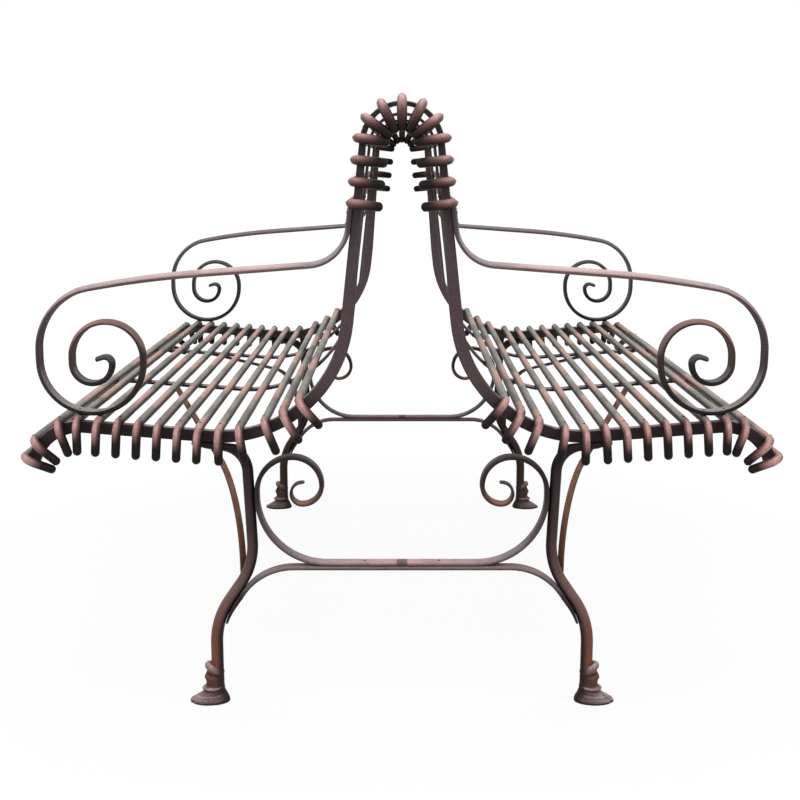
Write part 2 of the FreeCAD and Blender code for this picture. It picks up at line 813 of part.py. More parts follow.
lap_point = walk(foot, math.pi / 2, leg_steps[:6])[0]
lap_down = in_plane(rail_up) * -1
leg_pins = []
for share in lap_shares:
    middle = in_plane(lap_point + heading_vector(lap_heading) * value("lap_run") * share)
    leg_pins.append((middle + lap_down * value("leg_dia / 2"), lap_down))
leg_pins = [spot + (value("leg_dia - lap_flat + fit_gap + leg_bite"),) for spot in both(leg_pins)]
touch_middle = Vector(touch_x, 0, touch_low + value("leg_touch_run / 2"))
side_face = value("stretcher_thick / 2")
side_length = value("stretcher_thick + fit_gap") + bite
inward = Vector(1, 0, 0)
tail_middle = calf_point + calf_inward * value(side_by_leg)
tail_middle = in_plane(tail_middle + heading_vector(calf_heading) * value("tail_lap_run / 2"))
tail_face = in_plane(calf_inward)
side_pins = both([
    (touch_middle + inward * side_face, inward),
    (tail_middle + tail_face * side_face, tail_face),
])
side_pins = [spot + (side_length,) for spot in side_pins]
tie_seat = Vector(value("upper_run / 4"), 0, upper_height + side_face)
tie_pins = both([(tie_seat, Vector(0, 0, 1))])
tie_pins = [spot + (value("2 * stretcher_thick + fit_gap"),) for spot in tie_pins]
brace_low = brace_spot + Vector(0, 0, value("brace_foot / 2"))
brace_under = Vector(0, 0, -1)
brace_end_seat = Vector(brace_top.x, value("frame_span / 3"), brace_top.z)
brace_end_seat = brace_end_seat - plan * value("brace_end / 2")
brace_end_seat = brace_end_seat + brace_under * value("brace_thick / 2")
brace_pins = [
    (brace_low + plan * value("brace_thick / 2"), plan, value("brace_thick + fit_gap") + bite),
    (brace_end_seat, brace_under, value("brace_thick + bearer_thick + fit_gap")),
]


def holes_for(pins, start=0.0):
    # holes that run inwards from the dome seats, begun a little outside
    return [(seat + out * start, out * -1, length + start) for seat, out, length in pins]


# End frames, bearers, arms, legs, stretchers and braces with their rivet holes
clear = value("drill_lead")
slat_holes = [(point, out * -1, slat_radius + slat_bite) for point, out in every_place]
grip_pins = arm_pins[len(arm_places):]
# the outer edge of an end frame has round saddles for the slats
saddles = []
saddle_end = Vector(0, value("frame_thick / 2 + drill_lead"), 0)
along_slat = Rotation(Vector(0, 0, 1), Vector(0, -1, 0))
for number, (point, out) in enumerate(every_place, 1):
    saddle = doc.addObject("Part::Cylinder", "frame_saddle_%02d" % number)
    saddle.setExpression("Radius", bound("slat_dia / 2 + fit_gap"))
    saddle.setExpression("Height", bound("frame_thick + 2 * drill_lead"))
    saddle.Placement = Placement(point + saddle_end, along_slat)
    saddles.append(saddle)
saddles_together = doc.addObject("Part::Compound", "frame_saddles")
saddles_together.Links = saddles
notched = doc.addObject("Part::Cut", "frame_notched")
notched.Base = thinned
notched.Tool = saddles_together
frame = drilled(notched, "frame", slat_holes + holes_for(grip_pins) + holes_for(leg_pins))
bearer_tie = brace_end_seat - Vector(0, value("frame_span / 3"), 0)
tie_length = brace_pins[1][2] + clear
bearer_holes = holes_for(bearer_pins, clear)
bearer_holes += [(flip(bearer_tie), brace_under * -1, tie_length) for flip in both_sides]
bearer = drilled(bearer_bar, "bearer", bearer_holes)
arm = drilled(arm_bar, "arm", holes_for([spot for spot in arm_pins if spot[0].x < 0], clear))
left_leg_pins = [spot for spot in leg_pins + side_pins if spot[0].x < 0]
leg_holes = holes_for(left_leg_pins, clear)
brace_seat, brace_way, brace_length = brace_pins[0]
legs = {}
for hand, side in (("plain", 1), ("handed", -1)):
    seat = Vector(brace_seat.x, brace_seat.y * side, brace_seat.z)
    way = Vector(brace_way.x, brace_way.y * side, brace_way.z)
    brace_hole = holes_for([(seat, way, brace_length)])
    legs[hand] = drilled(leg_scarfed, hand + "_leg", leg_holes + brace_hole)
lower = drilled(lower_bar, "lower_stretcher", holes_for(side_pins + tie_pins, clear))
upper = drilled(upper_bar, "upper_stretcher", holes_for(side_pins + tie_pins, clear))
brace = drilled(brace_bar, "brace", holes_for(brace_pins, clear))
for end, shift in ends.items():
    turn = Rotation() if end == "near" else half_turn
    placed(frame, end + "_end_frame", Placement(shift, turn))
    placed(upper, end + "_scrolled_stretcher", Placement(shift, turn))
    placed(lower, end + "_lower_stretcher", Placement(shift, turn))
    placed(bearer, end + "_bearer", Placement(thirds[end], turn))
for corner, placement in corners.items():
    placed(arm, corner + "_arm", placement)
    hand = "plain" if corner in ("left_near", "right_far") else "handed"
    placed(legs[hand], corner + "_leg", placement)

# The braces of the other three corners are turned about the upright through the leg
swing = Rotation(Vector(0, 0, 1), 180 - 2 * plan_angle)
straight_place = Placement(ends["near"], Rotation())
swung_place = Placement(ends["near"] + mirrored(brace_spot) - swing.multVec(brace_spot), swing)
about_middle = Placement(Vector(0, 0, 0), half_turn)
placed(brace, "left_near_brace", straight_place)
placed(brace, "right_near_brace", swung_place)
placed(brace, "right_far_brace", about_middle * straight_place)
placed(brace, "left_far_brace", about_middle * swung_place)

# Hooves: oval rings stacked from the sole to the cuff, with a socket for the leg
hoof_rings = (
    ("sole", "0", "hoof_long / 2 - sole_bevel", "hoof_wide / 2 - sole_bevel",
     "hoof_long / 2 - hoof_toe"),
    ("wall", "sole_thick", "hoof_long / 2", "hoof_wide / 2", "hoof_long / 2 - hoof_toe"),
    ("coronet", "coronet_height", "coronet_dia / 2", "coronet_dia / 2 - oval_lead",
     "0 - coronet_lead"),
    ("band", "coronet_height + band_height", "coronet_dia / 2 - coronet_taper",
     "coronet_dia / 2 - coronet_taper - oval_lead", "0 - coronet_lead"),
    ("pastern", "pastern_height", "pastern_dia / 2 + oval_lead", "pastern_dia / 2",
     "0 - pastern_lead"),
    ("fetlock", "hoof_height - cuff_height", "cuff_dia / 2", "cuff_dia / 2 - oval_lead",
     "0 - pastern_lead"),
    ("cuff", "hoof_height", "leg_dia / 2 + cuff_wall + oval_lead", "leg_dia / 2 + cuff_wall",
     "0 - cuff_wall / 2"),
)
rings = []
for name, height, long_half, wide_half, lead in hoof_rings:
    ring = doc.addObject("Part::Ellipse", "hoof_" + name)
    ring.setExpression("MajorRadius", bound(long_half))
    ring.setExpression("MinorRadius", bound(wide_half))
    ring.setExpression("Placement.Base.x", bound(lead))
    ring.setExpression("Placement.Base.z", bound(height))
    rings.append(ring)
hoof_whole = doc.addObject("Part::Loft", "hoof_whole")
hoof_whole.Sections = rings
hoof_whole.Solid = True
hoof_whole.Ruled = True
socket = doc.addObject("Part::Cylinder", "hoof_socket")
socket.setExpression("Radius", bound("leg_dia / 2"))
socket.setExpression("Height", bound("hoof_height"))
socket.Placement = Placement(Vector(0, 0, value("socket_floor")), Rotation())
hoof = doc.addObject("Part::Cut", "hoof_bored")
hoof.Base = hoof_whole
hoof.Tool = socket
under_leg = Placement(Vector(foot.x, 0, 0), Rotation())
for corner, placement in corners.items():
    placed(hoof, corner + "_hoof", placement * under_leg)

# Rivets in four groups
doc.recompute()


def at_both_ends(pins):
    return [(seat + shift, out, length) for shift in ends.values() for seat, out, length in pins]


def at_bearers(pins):
    return [(seat + shift, out, length) for shift in thirds.values() for seat, out, length in pins]


def at_corners(pins):
    spots = []
    for across in (1, -1):
        for along in (1, -1):
            for seat, out, length in pins:
                set_out = seat + ends["near"]
                spot = Vector(set_out.x * across, set_out.y * along, set_out.z)
                spots.append((spot, Vector(out.x * across, out.y * along, out.z), length))
    return spots


rivet_groups = {
    "slat_rivets": at_both_ends(slat_pins) + at_bearers(bearer_pins),
    "arm_rivets": at_both_ends(arm_pins),
    "leg_rivets": at_both_ends(leg_pins) + at_corners(brace_pins),
    "stretcher_rivets": at_both_ends(side_pins + tie_pins),
}
for label, pins in rivet_groups.items():
    group = doc.addObject("Part::Feature", label)
    group.Label = label
    group.Shape = Part.makeCompound([pin(*spot) for spot in pins])
    nodes.append(group)

doc.recompute()
for item in doc.Objects:
    if "Invalid" in item.State or "Error" in item.State:
        raise RuntimeError("%s did not build" % item.Label)
os.makedirs("parts", exist_ok=True)
for node in nodes:
    if node.Shape.isNull() or not node.Shape.isValid():
        raise RuntimeError("%s has no sound shape" % node.Label)
    node.Shape.exportStep("parts/%s.step" % node.Label)
print("pieces written:", len(nodes))
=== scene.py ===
import math
import random

import bmesh
import bpy
from mathutils import Matrix, Vector, noise


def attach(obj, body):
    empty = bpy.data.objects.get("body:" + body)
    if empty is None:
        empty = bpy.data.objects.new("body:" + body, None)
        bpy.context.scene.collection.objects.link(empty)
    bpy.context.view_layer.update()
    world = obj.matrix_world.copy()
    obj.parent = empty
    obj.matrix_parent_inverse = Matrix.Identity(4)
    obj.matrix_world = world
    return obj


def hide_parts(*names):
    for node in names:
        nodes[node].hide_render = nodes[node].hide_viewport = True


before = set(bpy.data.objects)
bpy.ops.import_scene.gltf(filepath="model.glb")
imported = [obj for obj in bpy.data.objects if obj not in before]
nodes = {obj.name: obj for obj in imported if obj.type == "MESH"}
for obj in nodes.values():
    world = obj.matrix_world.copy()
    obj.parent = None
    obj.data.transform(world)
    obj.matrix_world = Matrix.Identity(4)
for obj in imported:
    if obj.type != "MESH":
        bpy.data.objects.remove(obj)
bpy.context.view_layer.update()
print("bench frame loaded:", len(nodes), "nodes")

sideways = Vector((0, 1, 0))
ends = {"near": -0.575, "far": 0.575}
turns = {"left": 1, "right": -1}
corners = {side + "_" + end: (turn, y) for side, turn in turns.items() for end, y in ends.items()}


# meshes: bars swept along a line, one ring after the other
def addPiece(name, bm, finish=None, replaced=()):
    mesh = bpy.data.meshes.new(name)
    bm.to_mesh(mesh)
    bm.free()
    piece = bpy.data.objects.new(name, mesh)
    bpy.context.scene.collection.objects.link(piece)
    if finish:
        mesh.materials.append(finish)
        for face in mesh.polygons:
            face.use_smooth = True
        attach(piece, "root")
        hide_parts(*replaced)
    return piece


def moveToCorner(bm, side, y):
    # pieces are made for the left side and turned about for the right one
    if side < 0:
        turned = Matrix.Rotation(math.pi, 3, "Z")
        bmesh.ops.rotate(bm, cent=(0, 0, 0), matrix=turned, verts=bm.verts[:])
    bmesh.ops.translate(bm, vec=(0, y, 0), verts=bm.verts[:])


def stand(origin, along, aside, grow=(1, 1)):
    # place of a ring: its third axis runs along the bar, its first axis runs aside
    ahead, across = along.normalized(), aside.normalized()
    place = Matrix((across * grow[0], ahead.cross(across) * grow[1], ahead)).transposed().to_4x4()
    place.translation = origin
    return place


def sweep(bm, edges, stands, marks, layer):
    # pull a ring from stand to stand and mark each ring with its distance along the bar
    for before, after, mark in zip(stands, stands[1:], marks[1:]):
        grown = bmesh.ops.extrude_edge_only(bm, edges=edges)["geom"]
        verts = [item for item in grown if isinstance(item, bmesh.types.BMVert)]
        bmesh.ops.transform(bm, matrix=after @ before.inverted(), verts=verts)
        fresh = set(verts)
        edges = [item for item in grown if isinstance(item, bmesh.types.BMEdge)
                 and fresh.issuperset(item.verts)]
        for vert in verts:
            vert[layer] = mark
    return edges


def sweepBar(bm, ring, stands, marks, seed=0.0):
    # a closed bar: the first ring, the swept rings and both ends
    layer = bm.verts.layers.float.get("along") or bm.verts.layers.float.new("along")
    lot = bm.verts.layers.float.get("lot") or bm.verts.layers.float.new("lot")
    start = ring(bm)
    bmesh.ops.transform(bm, matrix=stands[0], verts=start)
    for vert in start:
        vert[layer] = marks[0]
    first = list({edge for vert in start for edge in vert.link_edges})
    last = sweep(bm, first, stands, marks, layer)
    bmesh.ops.edgeloop_fill(bm, edges=first)
    bmesh.ops.edgeloop_fill(bm, edges=last)
    todo, bar = list(start), set(start)
    while todo:
        for edge in todo.pop().link_edges:
            for vert in edge.verts:
                if vert not in bar:
                    bar.add(vert)
                    todo.append(vert)
    for vert in bar:
        vert[lot] = seed
    bmesh.ops.recalc_face_normals(bm, faces=bm.faces[:])


def roundRing(radius, segments):
    return lambda bm: bmesh.ops.create_circle(bm, segments=segments, radius=radius)["verts"]


def flatRing(wide, thick, edge):
    def ring(bm):
        verts = bmesh.ops.create_grid(bm, x_segments=1, y_segments=1, size=0.5)["verts"]
        bmesh.ops.scale(bm, vec=(wide, thick, 1), verts=verts)
        cut = bmesh.ops.bevel(bm, geom=verts, offset=edge, offset_type="OFFSET", affect="VERTICES",
                              segments=5, profile=0.5, material=-1)
        verts = list({vert for face in cut["faces"] for vert in face.verts} | set(cut["verts"]))
        bmesh.ops.delete(bm, geom=list({f for v in verts for f in v.link_faces}), context="FACES_ONLY")
        return verts
    return ring


def halfRoundRing(wide, thick, edge):
    # flat on one side, an upright edge, and arched over the rest
    def ring(bm):
        verts = bmesh.ops.create_circle(bm, segments=28, radius=1.0)["verts"]
        bmesh.ops.scale(bm, vec=(wide / 2, thick - edge, 1), verts=verts)
        flat = [vert for vert in verts if vert.co.y > thick * 0.01]
        bmesh.ops.scale(bm, vec=(1, 0, 1), verts=flat)
        bmesh.ops.translate(bm, vec=(0, edge, 0), verts=flat)
        corner = max(vert.co.x for vert in flat)
        bmesh.ops.scale(bm, vec=(wide / 2 / corner, 1, 1), verts=flat)
        bmesh.ops.translate(bm, vec=(0, thick / 2 - edge, 0), verts=verts)
        return verts
    return ring


def bentLine(spot, heading, steps, fine=0.008):
    # points along straight runs and bends: place in the X-Z plane, heading, distance
    x, z, turn, gone = spot[0], spot[1], math.radians(heading), 0.0
    points = [(x, z, turn, gone)]
    for step in steps:
        if step[0] == "run":
            parts = max(1, round(step[1] / 1000 / (fine * 3)))
            for part in range(parts):
                length = step[1] / 1000 / parts
                x, z, gone = x + length * math.cos(turn), z + length * math.sin(turn), gone + length
                points.append((x, z, turn, gone))
            continue
        side = 1 if step[0] == "left" else -1
        radius, angle = step[1] / 1000, math.radians(step[2])
        parts = max(2, round(angle * radius / fine), round(angle / 0.1))
        middle = (x - side * radius * math.sin(turn), z + side * radius * math.cos(turn))
        for part in range(parts):
            turn += side * angle / parts
            gone += radius * angle / parts
            x, z = middle[0] + side * radius * math.sin(turn), middle[1] - side * radius * math.cos(turn)
            points.append((x, z, turn, gone))
    return points


def roundTips(points, reach):
    # more stations on the last straight bit of both ends
    fresh = list(points)
    for share in (0.9, 0.75, 0.55, 0.3, 0.1):
        for near, beyond in ((points[-1], points[-2]), (points[0], points[1])):
            step = min(0.95, reach * share / abs(near[3] - beyond[3]))
            fresh.append(tuple(a + (b - a) * step for a, b in zip(near, beyond)))
    return sorted(fresh, key=lambda point: point[3])


# node trees
def put(tree, kind, inputs=None, **settings):
    node = tree.nodes.new(kind)
    for name, setting in settings.items():
        setattr(node, name, setting)
    for key, entry in (inputs or {}).items():
        if isinstance(entry, bpy.types.NodeSocket):
            tree.links.new(entry, node.inputs[key])
        else:
            node.inputs[key].default_value = entry
    return node


def seenDirectly(tree):
    path = put(tree, "ShaderNodeLightPath").outputs
    both = math2(tree, "ADD", path["Is Camera Ray"], path["Is Glossy Ray"])
    return math2(tree, "MINIMUM", math2(tree, "ADD", both, path["Is Transmission Ray"]), 1.0)


def tone(code):
    # paint code to a linear colour
    parts = [int(code[i:i + 2], 16) / 255 for i in (0, 2, 4)]
    return tuple(p / 12.92 if p < 0.04045 else ((p + 0.055) / 1.055) ** 2.4 for p in parts) + (1,)


def ramp(tree, amount, low, high):
    inputs = {0: amount, 1: low, 2: high}
    return put(tree, "ShaderNodeMapRange", inputs, interpolation_type="SMOOTHSTEP", clamp=True).outputs[0]


def math2(tree, operation, first, second=0.0):
    return put(tree, "ShaderNodeMath", {0: first, 1: second}, operation=operation).outputs[0]


def mixTone(tree, share, first, second):
    return put(tree, "ShaderNodeMix", {0: share, 6: first, 7: second}, data_type="RGBA").outputs[2]


def grain(tree, coords, size, stretch=(1, 1, 1), detail=3.0, shift=(0, 0, 0)):
    # noise whose blotches are about size metres wide
    place = put(tree, "ShaderNodeMapping", {"Vector": coords, "Location": shift, "Scale": stretch})
    inputs = {"Vector": place.outputs[0], "Scale": 1 / size, "Detail": detail}
    return put(tree, "ShaderNodeTexNoise", inputs).outputs[0]


def zones(tree, amount, stops):
    # colours that follow one another along an amount
    colour = tone(stops[0][1])
    for (before, _), (after, code) in zip(stops, stops[1:]):
        colour = mixTone(tree, ramp(tree, amount, before, after), colour, tone(code))
    return colour


# finish of the forged iron, worn in blotches and flecks, with painted light: tops painted lighter, sides
# brown, undersides painted nearly black as shade
finishSet = {"metal": 0.05, "gloss": 0.12, "speck": 0.0035, "grit": 0.25, "bumpDepth": 0.0015}


def ironFinishWithPaintedLight(name, look):
    mat = bpy.data.materials.new(name)
    mat.use_nodes = True
    tree = mat.node_tree
    shader = tree.nodes["Principled BSDF"]
    coords = put(tree, "ShaderNodeTexCoord").outputs["Object"]
    facing = put(tree, "ShaderNodeNewGeometry").outputs["Normal"]
    normal = put(tree, "ShaderNodeSeparateXYZ", {0: facing}).outputs
    place = put(tree, "ShaderNodeSeparateXYZ", {0: coords}).outputs
    blotch = grain(tree, coords, look["blotch"], look["stretch"], 4.0)
    speck = grain(tree, coords, finishSet["speck"], (1, 1, 1), 2.0, (3, 1, 5))
    wavy = math2(tree, "SUBTRACT", blotch, 0.5)
    if "top stops" in look:
        marked = put(tree, "ShaderNodeAttribute", attribute_name="along").outputs["Fac"]
        along = math2(tree, "ADD", marked, math2(tree, "MULTIPLY", wavy, look["waver"]))
        top = zones(tree, along, look["top stops"])
        side = zones(tree, along, look["side stops"])
    else:
        top = mixTone(tree, ramp(tree, blotch, 0.4, 0.62), tone(look["top"]), tone(look["topWorn"]))
        side = mixTone(tree, ramp(tree, blotch, 0.42, 0.66), tone(look["side"]), tone(look["sideWorn"]))
    if "patch" in look:
        share = math2(tree, "MULTIPLY", ramp(tree, blotch, 0.45, 0.65), look["patch"][1])
        top = mixTone(tree, share, top, tone(look["patch"][0]))
        side = mixTone(tree, share, side, tone(look["patch"][0]))
    if "height stops" in look:
        side = mixTone(tree, 0.75, side, zones(tree, place[2], look["height stops"]))
    if "inner" in look:
        # painted shade: the side turned to the middle of the bench is painted darker
        sign = math2(tree, "SIGN", place[0])
        inward = math2(tree, "MULTIPLY", math2(tree, "MULTIPLY", sign, normal[0]), -1.0)
        shade = ramp(tree, inward, *look.get("innerEdge", (-0.1, 0.85)))
        side = mixTone(tree, shade, side, tone(look["inner"]))
        top = mixTone(tree, shade, top, tone(look["inner"]))
    if "bands" in look:
        top, side = bandsAlongBar(tree, coords, place, top, side, look["bands"])
    # painted light: faces turned up take the lighter top tone, faces turned down the nearly black under
    # tone as painted shade
    lifted = math2(tree, "ADD", normal[2], math2(tree, "MULTIPLY", wavy, 0.5))
    colour = mixTone(tree, ramp(tree, lifted, *look["turn"]), side, top)
    below = ramp(tree, lifted, *look.get("below", (-0.1, -0.7)))
    colour = mixTone(tree, below, colour, tone(look["under"]))
    if "finger" in look:
        colour = fingerTones(tree, wavy, place, normal, colour, look["finger"])
    if "mark" in look:
        colour = weldMark(tree, place, colour, look["mark"])
    # painted shade in the folds and the cleft, whose depth is kept in lot
    if "creaseShade" in look:
        depth = put(tree, "ShaderNodeAttribute", attribute_name="lot").outputs["Fac"]
        colour = mixTone(tree, ramp(tree, depth, 0.15, 0.8), colour, tone(look["creaseShade"]))
    # far copies: painted shade, the whole colour mixed towards the under tone
    if "dim" in look:
        colour = mixTone(tree, look["dim"], colour, tone(look["under"]))
    fleck = math2(tree, "MULTIPLY", ramp(tree, speck, 0.35, 0.7), look["fleck"])
    colour = mixTone(tree, fleck, colour, tone(look["under"]))
    tree.links.new(colour, shader.inputs["Base Color"])
    smooth, coarse = look["rough"]
    rough = put(tree, "ShaderNodeMapRange", {0: blotch, 1: 0.3, 2: 0.7, 3: smooth, 4: coarse})
    tree.links.new(rough.outputs[0], shader.inputs["Roughness"])
    shader.inputs["Metallic"].default_value = finishSet["metal"]
    shader.inputs["Specular IOR Level"].default_value = finishSet["gloss"]
    dents = grain(tree, coords, look["dent"], (1, 1, 1), 2.0, (7, 2, 1))
    grit = math2(tree, "MULTIPLY", speck, look.get("grit", finishSet["grit"]))
    height = math2(tree, "ADD", dents, grit)
    inputs = {"Height": height, "Strength": look["bump"], "Distance": finishSet["bumpDepth"]}
    bump = put(tree, "ShaderNodeBump", inputs)
    tree.links.new(bump.outputs[0], shader.inputs["Normal"])
    return mat


def bandsAlongBar(tree, coords, place, top, side, bands):
    # rose and tan stretches that come again along the bar, shifted from slat to slat
    lot = put(tree, "ShaderNodeAttribute", attribute_name="lot").outputs["Fac"]
    fringe = grain(tree, coords, bands["fringe"], (1, 0.35, 1), 3.0, (2, 0, 4))
    shifted = math2(tree, "MULTIPLY", math2(tree, "SUBTRACT", lot, 0.5), bands["wander"])
    shifted = math2(tree, "ADD", shifted, math2(tree, "MULTIPLY", fringe, bands["fray"]))
    where = math2(tree, "ADD", math2(tree, "ADD", place[1], shifted), bands["start"])
    wave = math2(tree, "COSINE", math2(tree, "MULTIPLY", where, 2 * math.pi / bands["pitch"]))
    share = math2(tree, "MULTIPLY", ramp(tree, wave, *bands["edge"]), bands["strength"])
    warm = grain(tree, coords, 0.09, (1, 0.4, 1), 2.0, (9, 3, 2))
    bandTone = mixTone(tree, ramp(tree, warm, 0.42, 0.58), tone(bands["rose"]), tone(bands["tan"]))
    return mixTone(tree, share, top, bandTone), mixTone(tree, share, side, tone(bands["sideBand"]))


def fingerTones(tree, wavy, place, normal, colour, finger):
    # beyond the elbow: painted highlight, rosy where the bar faces up or out, and painted shade that turns
    # the tip nearly black
    marked = put(tree, "ShaderNodeAttribute", attribute_name="along").outputs["Fac"]
    lot = put(tree, "ShaderNodeAttribute", attribute_name="lot").outputs["Fac"]
    shifted = math2(tree, "MULTIPLY", math2(tree, "SUBTRACT", lot, 0.5), finger["wander"])
    along = math2(tree, "ADD", marked, shifted)
    along = math2(tree, "ADD", along, math2(tree, "MULTIPLY", wavy, finger["fray"]))
    outward = math2(tree, "MULTIPLY", math2(tree, "SIGN", place[0]), normal[0])
    shares = zip((outward, math2(tree, "ABSOLUTE", normal[1]), normal[2]), finger["faces"])
    parts = [math2(tree, "MULTIPLY", face, share) for face, share in shares]
    lit = math2(tree, "ADD", math2(tree, "ADD", parts[0], parts[1]), parts[2])
    lit = math2(tree, "ADD", lit, math2(tree, "MULTIPLY", wavy, 0.3))
    paintedLightTones = zones(tree, lit, finger["paintedLightTones"])
    bent = mixTone(tree, ramp(tree, along, *finger["bend"]), colour, paintedLightTones)
    return mixTone(tree, ramp(tree, along, *finger["fade"]), bent, tone(finger["tip"]))


def weldMark(tree, place, colour, mark):
    # dark spot at the middle of the bench
    reach = ramp(tree, math2(tree, "ABSOLUTE", place[0]), mark["half"], mark["half"] * 0.6)
    return mixTone(tree, math2(tree, "MULTIPLY", reach, mark["share"]), colour, tone(mark["tone"]))


# stage: camera, ground and lamps
stageSet = {
    "cameraAt": (0.0, -2.48304, 0.8411),
    "cameraTilt": 79.402,        # degrees from straight down
    "lens": 57.72,
    "shiftX": -0.0025,
    "groundSize": 60.0,
    "groundTone": (0.62, 0.61, 0.6, 1),
    "groundGlow": 1.04,
    "groundShare": 0.88,         # plain white share of the ground under the bench
    "groundFade": (0.75, 1.7),   # distances over which the rest fades to white
    "skyTone": (1.0, 0.96, 0.95, 1),
    "skyLight": 0.3,
}


def buildStage():
    scene = bpy.context.scene
    scene.view_settings.view_transform = "Standard"
    lensData = bpy.data.cameras.new("benchCamera")
    lensData.lens = stageSet["lens"]
    lensData.sensor_width = 36
    lensData.shift_x = stageSet["shiftX"]
    lensData.clip_end = 200
    camera = bpy.data.objects.new("benchCamera", lensData)
    camera.location = stageSet["cameraAt"]
    camera.rotation_euler = (math.radians(stageSet["cameraTilt"]), 0, 0)
    scene.collection.objects.link(camera)
    scene.camera = camera

    # pale ground that shows nearly white and keeps a soft shadow
    bm = bmesh.new()
    bmesh.ops.create_grid(bm, x_segments=2, y_segments=2, size=stageSet["groundSize"] / 2)
    ground = addPiece("ground", bm)
    mat = bpy.data.materials.new("paleGround")
    mat.use_nodes = True
    tree = mat.node_tree
    shader = tree.nodes["Principled BSDF"]
    shader.inputs["Base Color"].default_value = stageSet["groundTone"]
    shader.inputs["Roughness"].default_value = 0.9
    shader.inputs["Specular IOR Level"].default_value = 0.1
    coords = put(tree, "ShaderNodeTexCoord").outputs["Object"]
    reach = put(tree, "ShaderNodeVectorMath", {0: coords}, operation="LENGTH").outputs["Value"]
    fade = ramp(tree, reach, *stageSet["groundFade"])
    white = put(tree, "ShaderNodeMapRange", {0: fade, 3: stageSet["groundShare"], 4: 1.0})
    share = math2(tree, "MULTIPLY", seenDirectly(tree), white.outputs[0])
    glow = put(tree, "ShaderNodeEmission", {"Color": (1, 1, 1, 1), "Strength": stageSet["groundGlow"]})
    mixed = put(tree, "ShaderNodeMixShader", {0: share, 1: shader.outputs[0], 2: glow.outputs[0]})
    tree.links.new(mixed.outputs[0], tree.nodes["Material Output"].inputs[0])
    ground.data.materials.append(mat)

    # even sky for light, plain white where it is seen
    world = bpy.data.worlds.new("paleSky")
    scene.world = world
    world.use_nodes = True
    tree = world.node_tree
    dim = tree.nodes["Background"]
    dim.inputs["Color"].default_value = stageSet["skyTone"]
    dim.inputs["Strength"].default_value = stageSet["skyLight"]
    bright = put(tree, "ShaderNodeBackground", {"Color": (1, 1, 1, 1), "Strength": 1.0})
    seen = seenDirectly(tree)
    mixed = put(tree, "ShaderNodeMixShader", {0: seen, 1: dim.outputs[0], 2: bright.outputs[0]})
    tree.links.new(mixed.outputs[0], tree.nodes["World Output"].inputs[0])

    lamps = (
        # name, place, aimed at, size, power
        ("overheadLamp", (0.0, 0.3, 3.0), (0, 0.1, 0.4), 2.6, 54),
        ("leftLamp", (-1.9, -1.5, 1.9), (-0.3, 0, 0.4), 1.2, 26),
        ("rightLamp", (1.9, -1.5, 1.9), (0.3, 0, 0.4), 1.2, 26),
        ("frontLamp", (0.0, -3.6, 2.3), (0, 0, 0.4), 2.0, 14),
    )
    for name, place, aim, size, power in lamps:
        lampData = bpy.data.lights.new(name, "AREA")
        lampData.shape = "DISK"
        lampData.size = size
        lampData.energy = power
        lamp = bpy.data.objects.new(name, lampData)
        lamp.location = place
        lamp.rotation_euler = (Vector(aim) - Vector(place)).to_track_quat("-Z", "Y").to_euler()
        scene.collection.objects.link(lamp)
    print("stage ready")


buildStage()

# seat and crest slats: round bars with a rounded elbow and a finger at each end
slatSet = {
    "radius": 0.0065, "segments": 20, "elbow": 0.020, "endAt": 0.581, "waves": 0.0005, "uneven": 0.03,
    "seatStout": 0.04, "seatSeed": 100, "crestStout": 0.16, "crestSeed": 500,
}
seatLook = {
    "top": "908c85", "topWorn": "7b756e", "side": "251d1c", "sideWorn": "312625", "under": "171112",
    "blotch": 0.03, "stretch": (1, 0.25, 1), "turn": (0.2, 0.85), "fleck": 0.3, "rough": (0.42, 0.58),
    "dent": 0.012, "bump": 0.35,
    "bands": {"start": -0.075, "pitch": 0.365, "fringe": 0.03, "wander": 0.2, "fray": 0.05,
              "edge": (0.0, 0.75), "rose": "c29891", "tan": "c39d8e", "strength": 0.82,
              "sideBand": "4a352f"},
    "finger": {"bend": (0.004, 0.016), "fade": (0.018, 0.048), "wander": 0.014,
               "fray": 0.01, "faces": (0.6, 0.5, 0.3), "tip": "1c1313",
               "paintedLightTones": ((-0.25, "281a1a"), (0.22, "775553"), (0.55, "c99c98"))},
}
crestLook = {
    "top": "9f7f73", "topWorn": "aa938c", "side": "40312f", "sideWorn": "4c3833", "under": "1d1617",
    "blotch": 0.025, "stretch": (1, 0.4, 1), "turn": (-0.2, 0.85), "fleck": 0.22, "rough": (0.36, 0.5),
    "dent": 0.012, "bump": 0.35,
    "bands": {"start": 0.05, "pitch": 0.365, "fringe": 0.03, "wander": 0.3, "fray": 0.05,
              "edge": (0.0, 0.8), "rose": "c49382", "tan": "c69a80", "strength": 0.8,
              "sideBand": "6d4a40"},
    "finger": {"bend": (-0.02, 0.006), "fade": (0.012, 0.05), "wander": 0.014,
               "fray": 0.01, "faces": (0.2, 0.45, 0.6), "tip": "1c1313",
               "paintedLightTones": ((-0.4, "211616"), (0.15, "4d3534"), (0.5, "7f5a58"), (0.85, "cba19d"))},
}
seatFinish = ironFinishWithPaintedLight("wornSeatIronWithPaintedLight", seatLook)
crestFinish = ironFinishWithPaintedLight("wornCrestIronWithPaintedLight", crestLook)


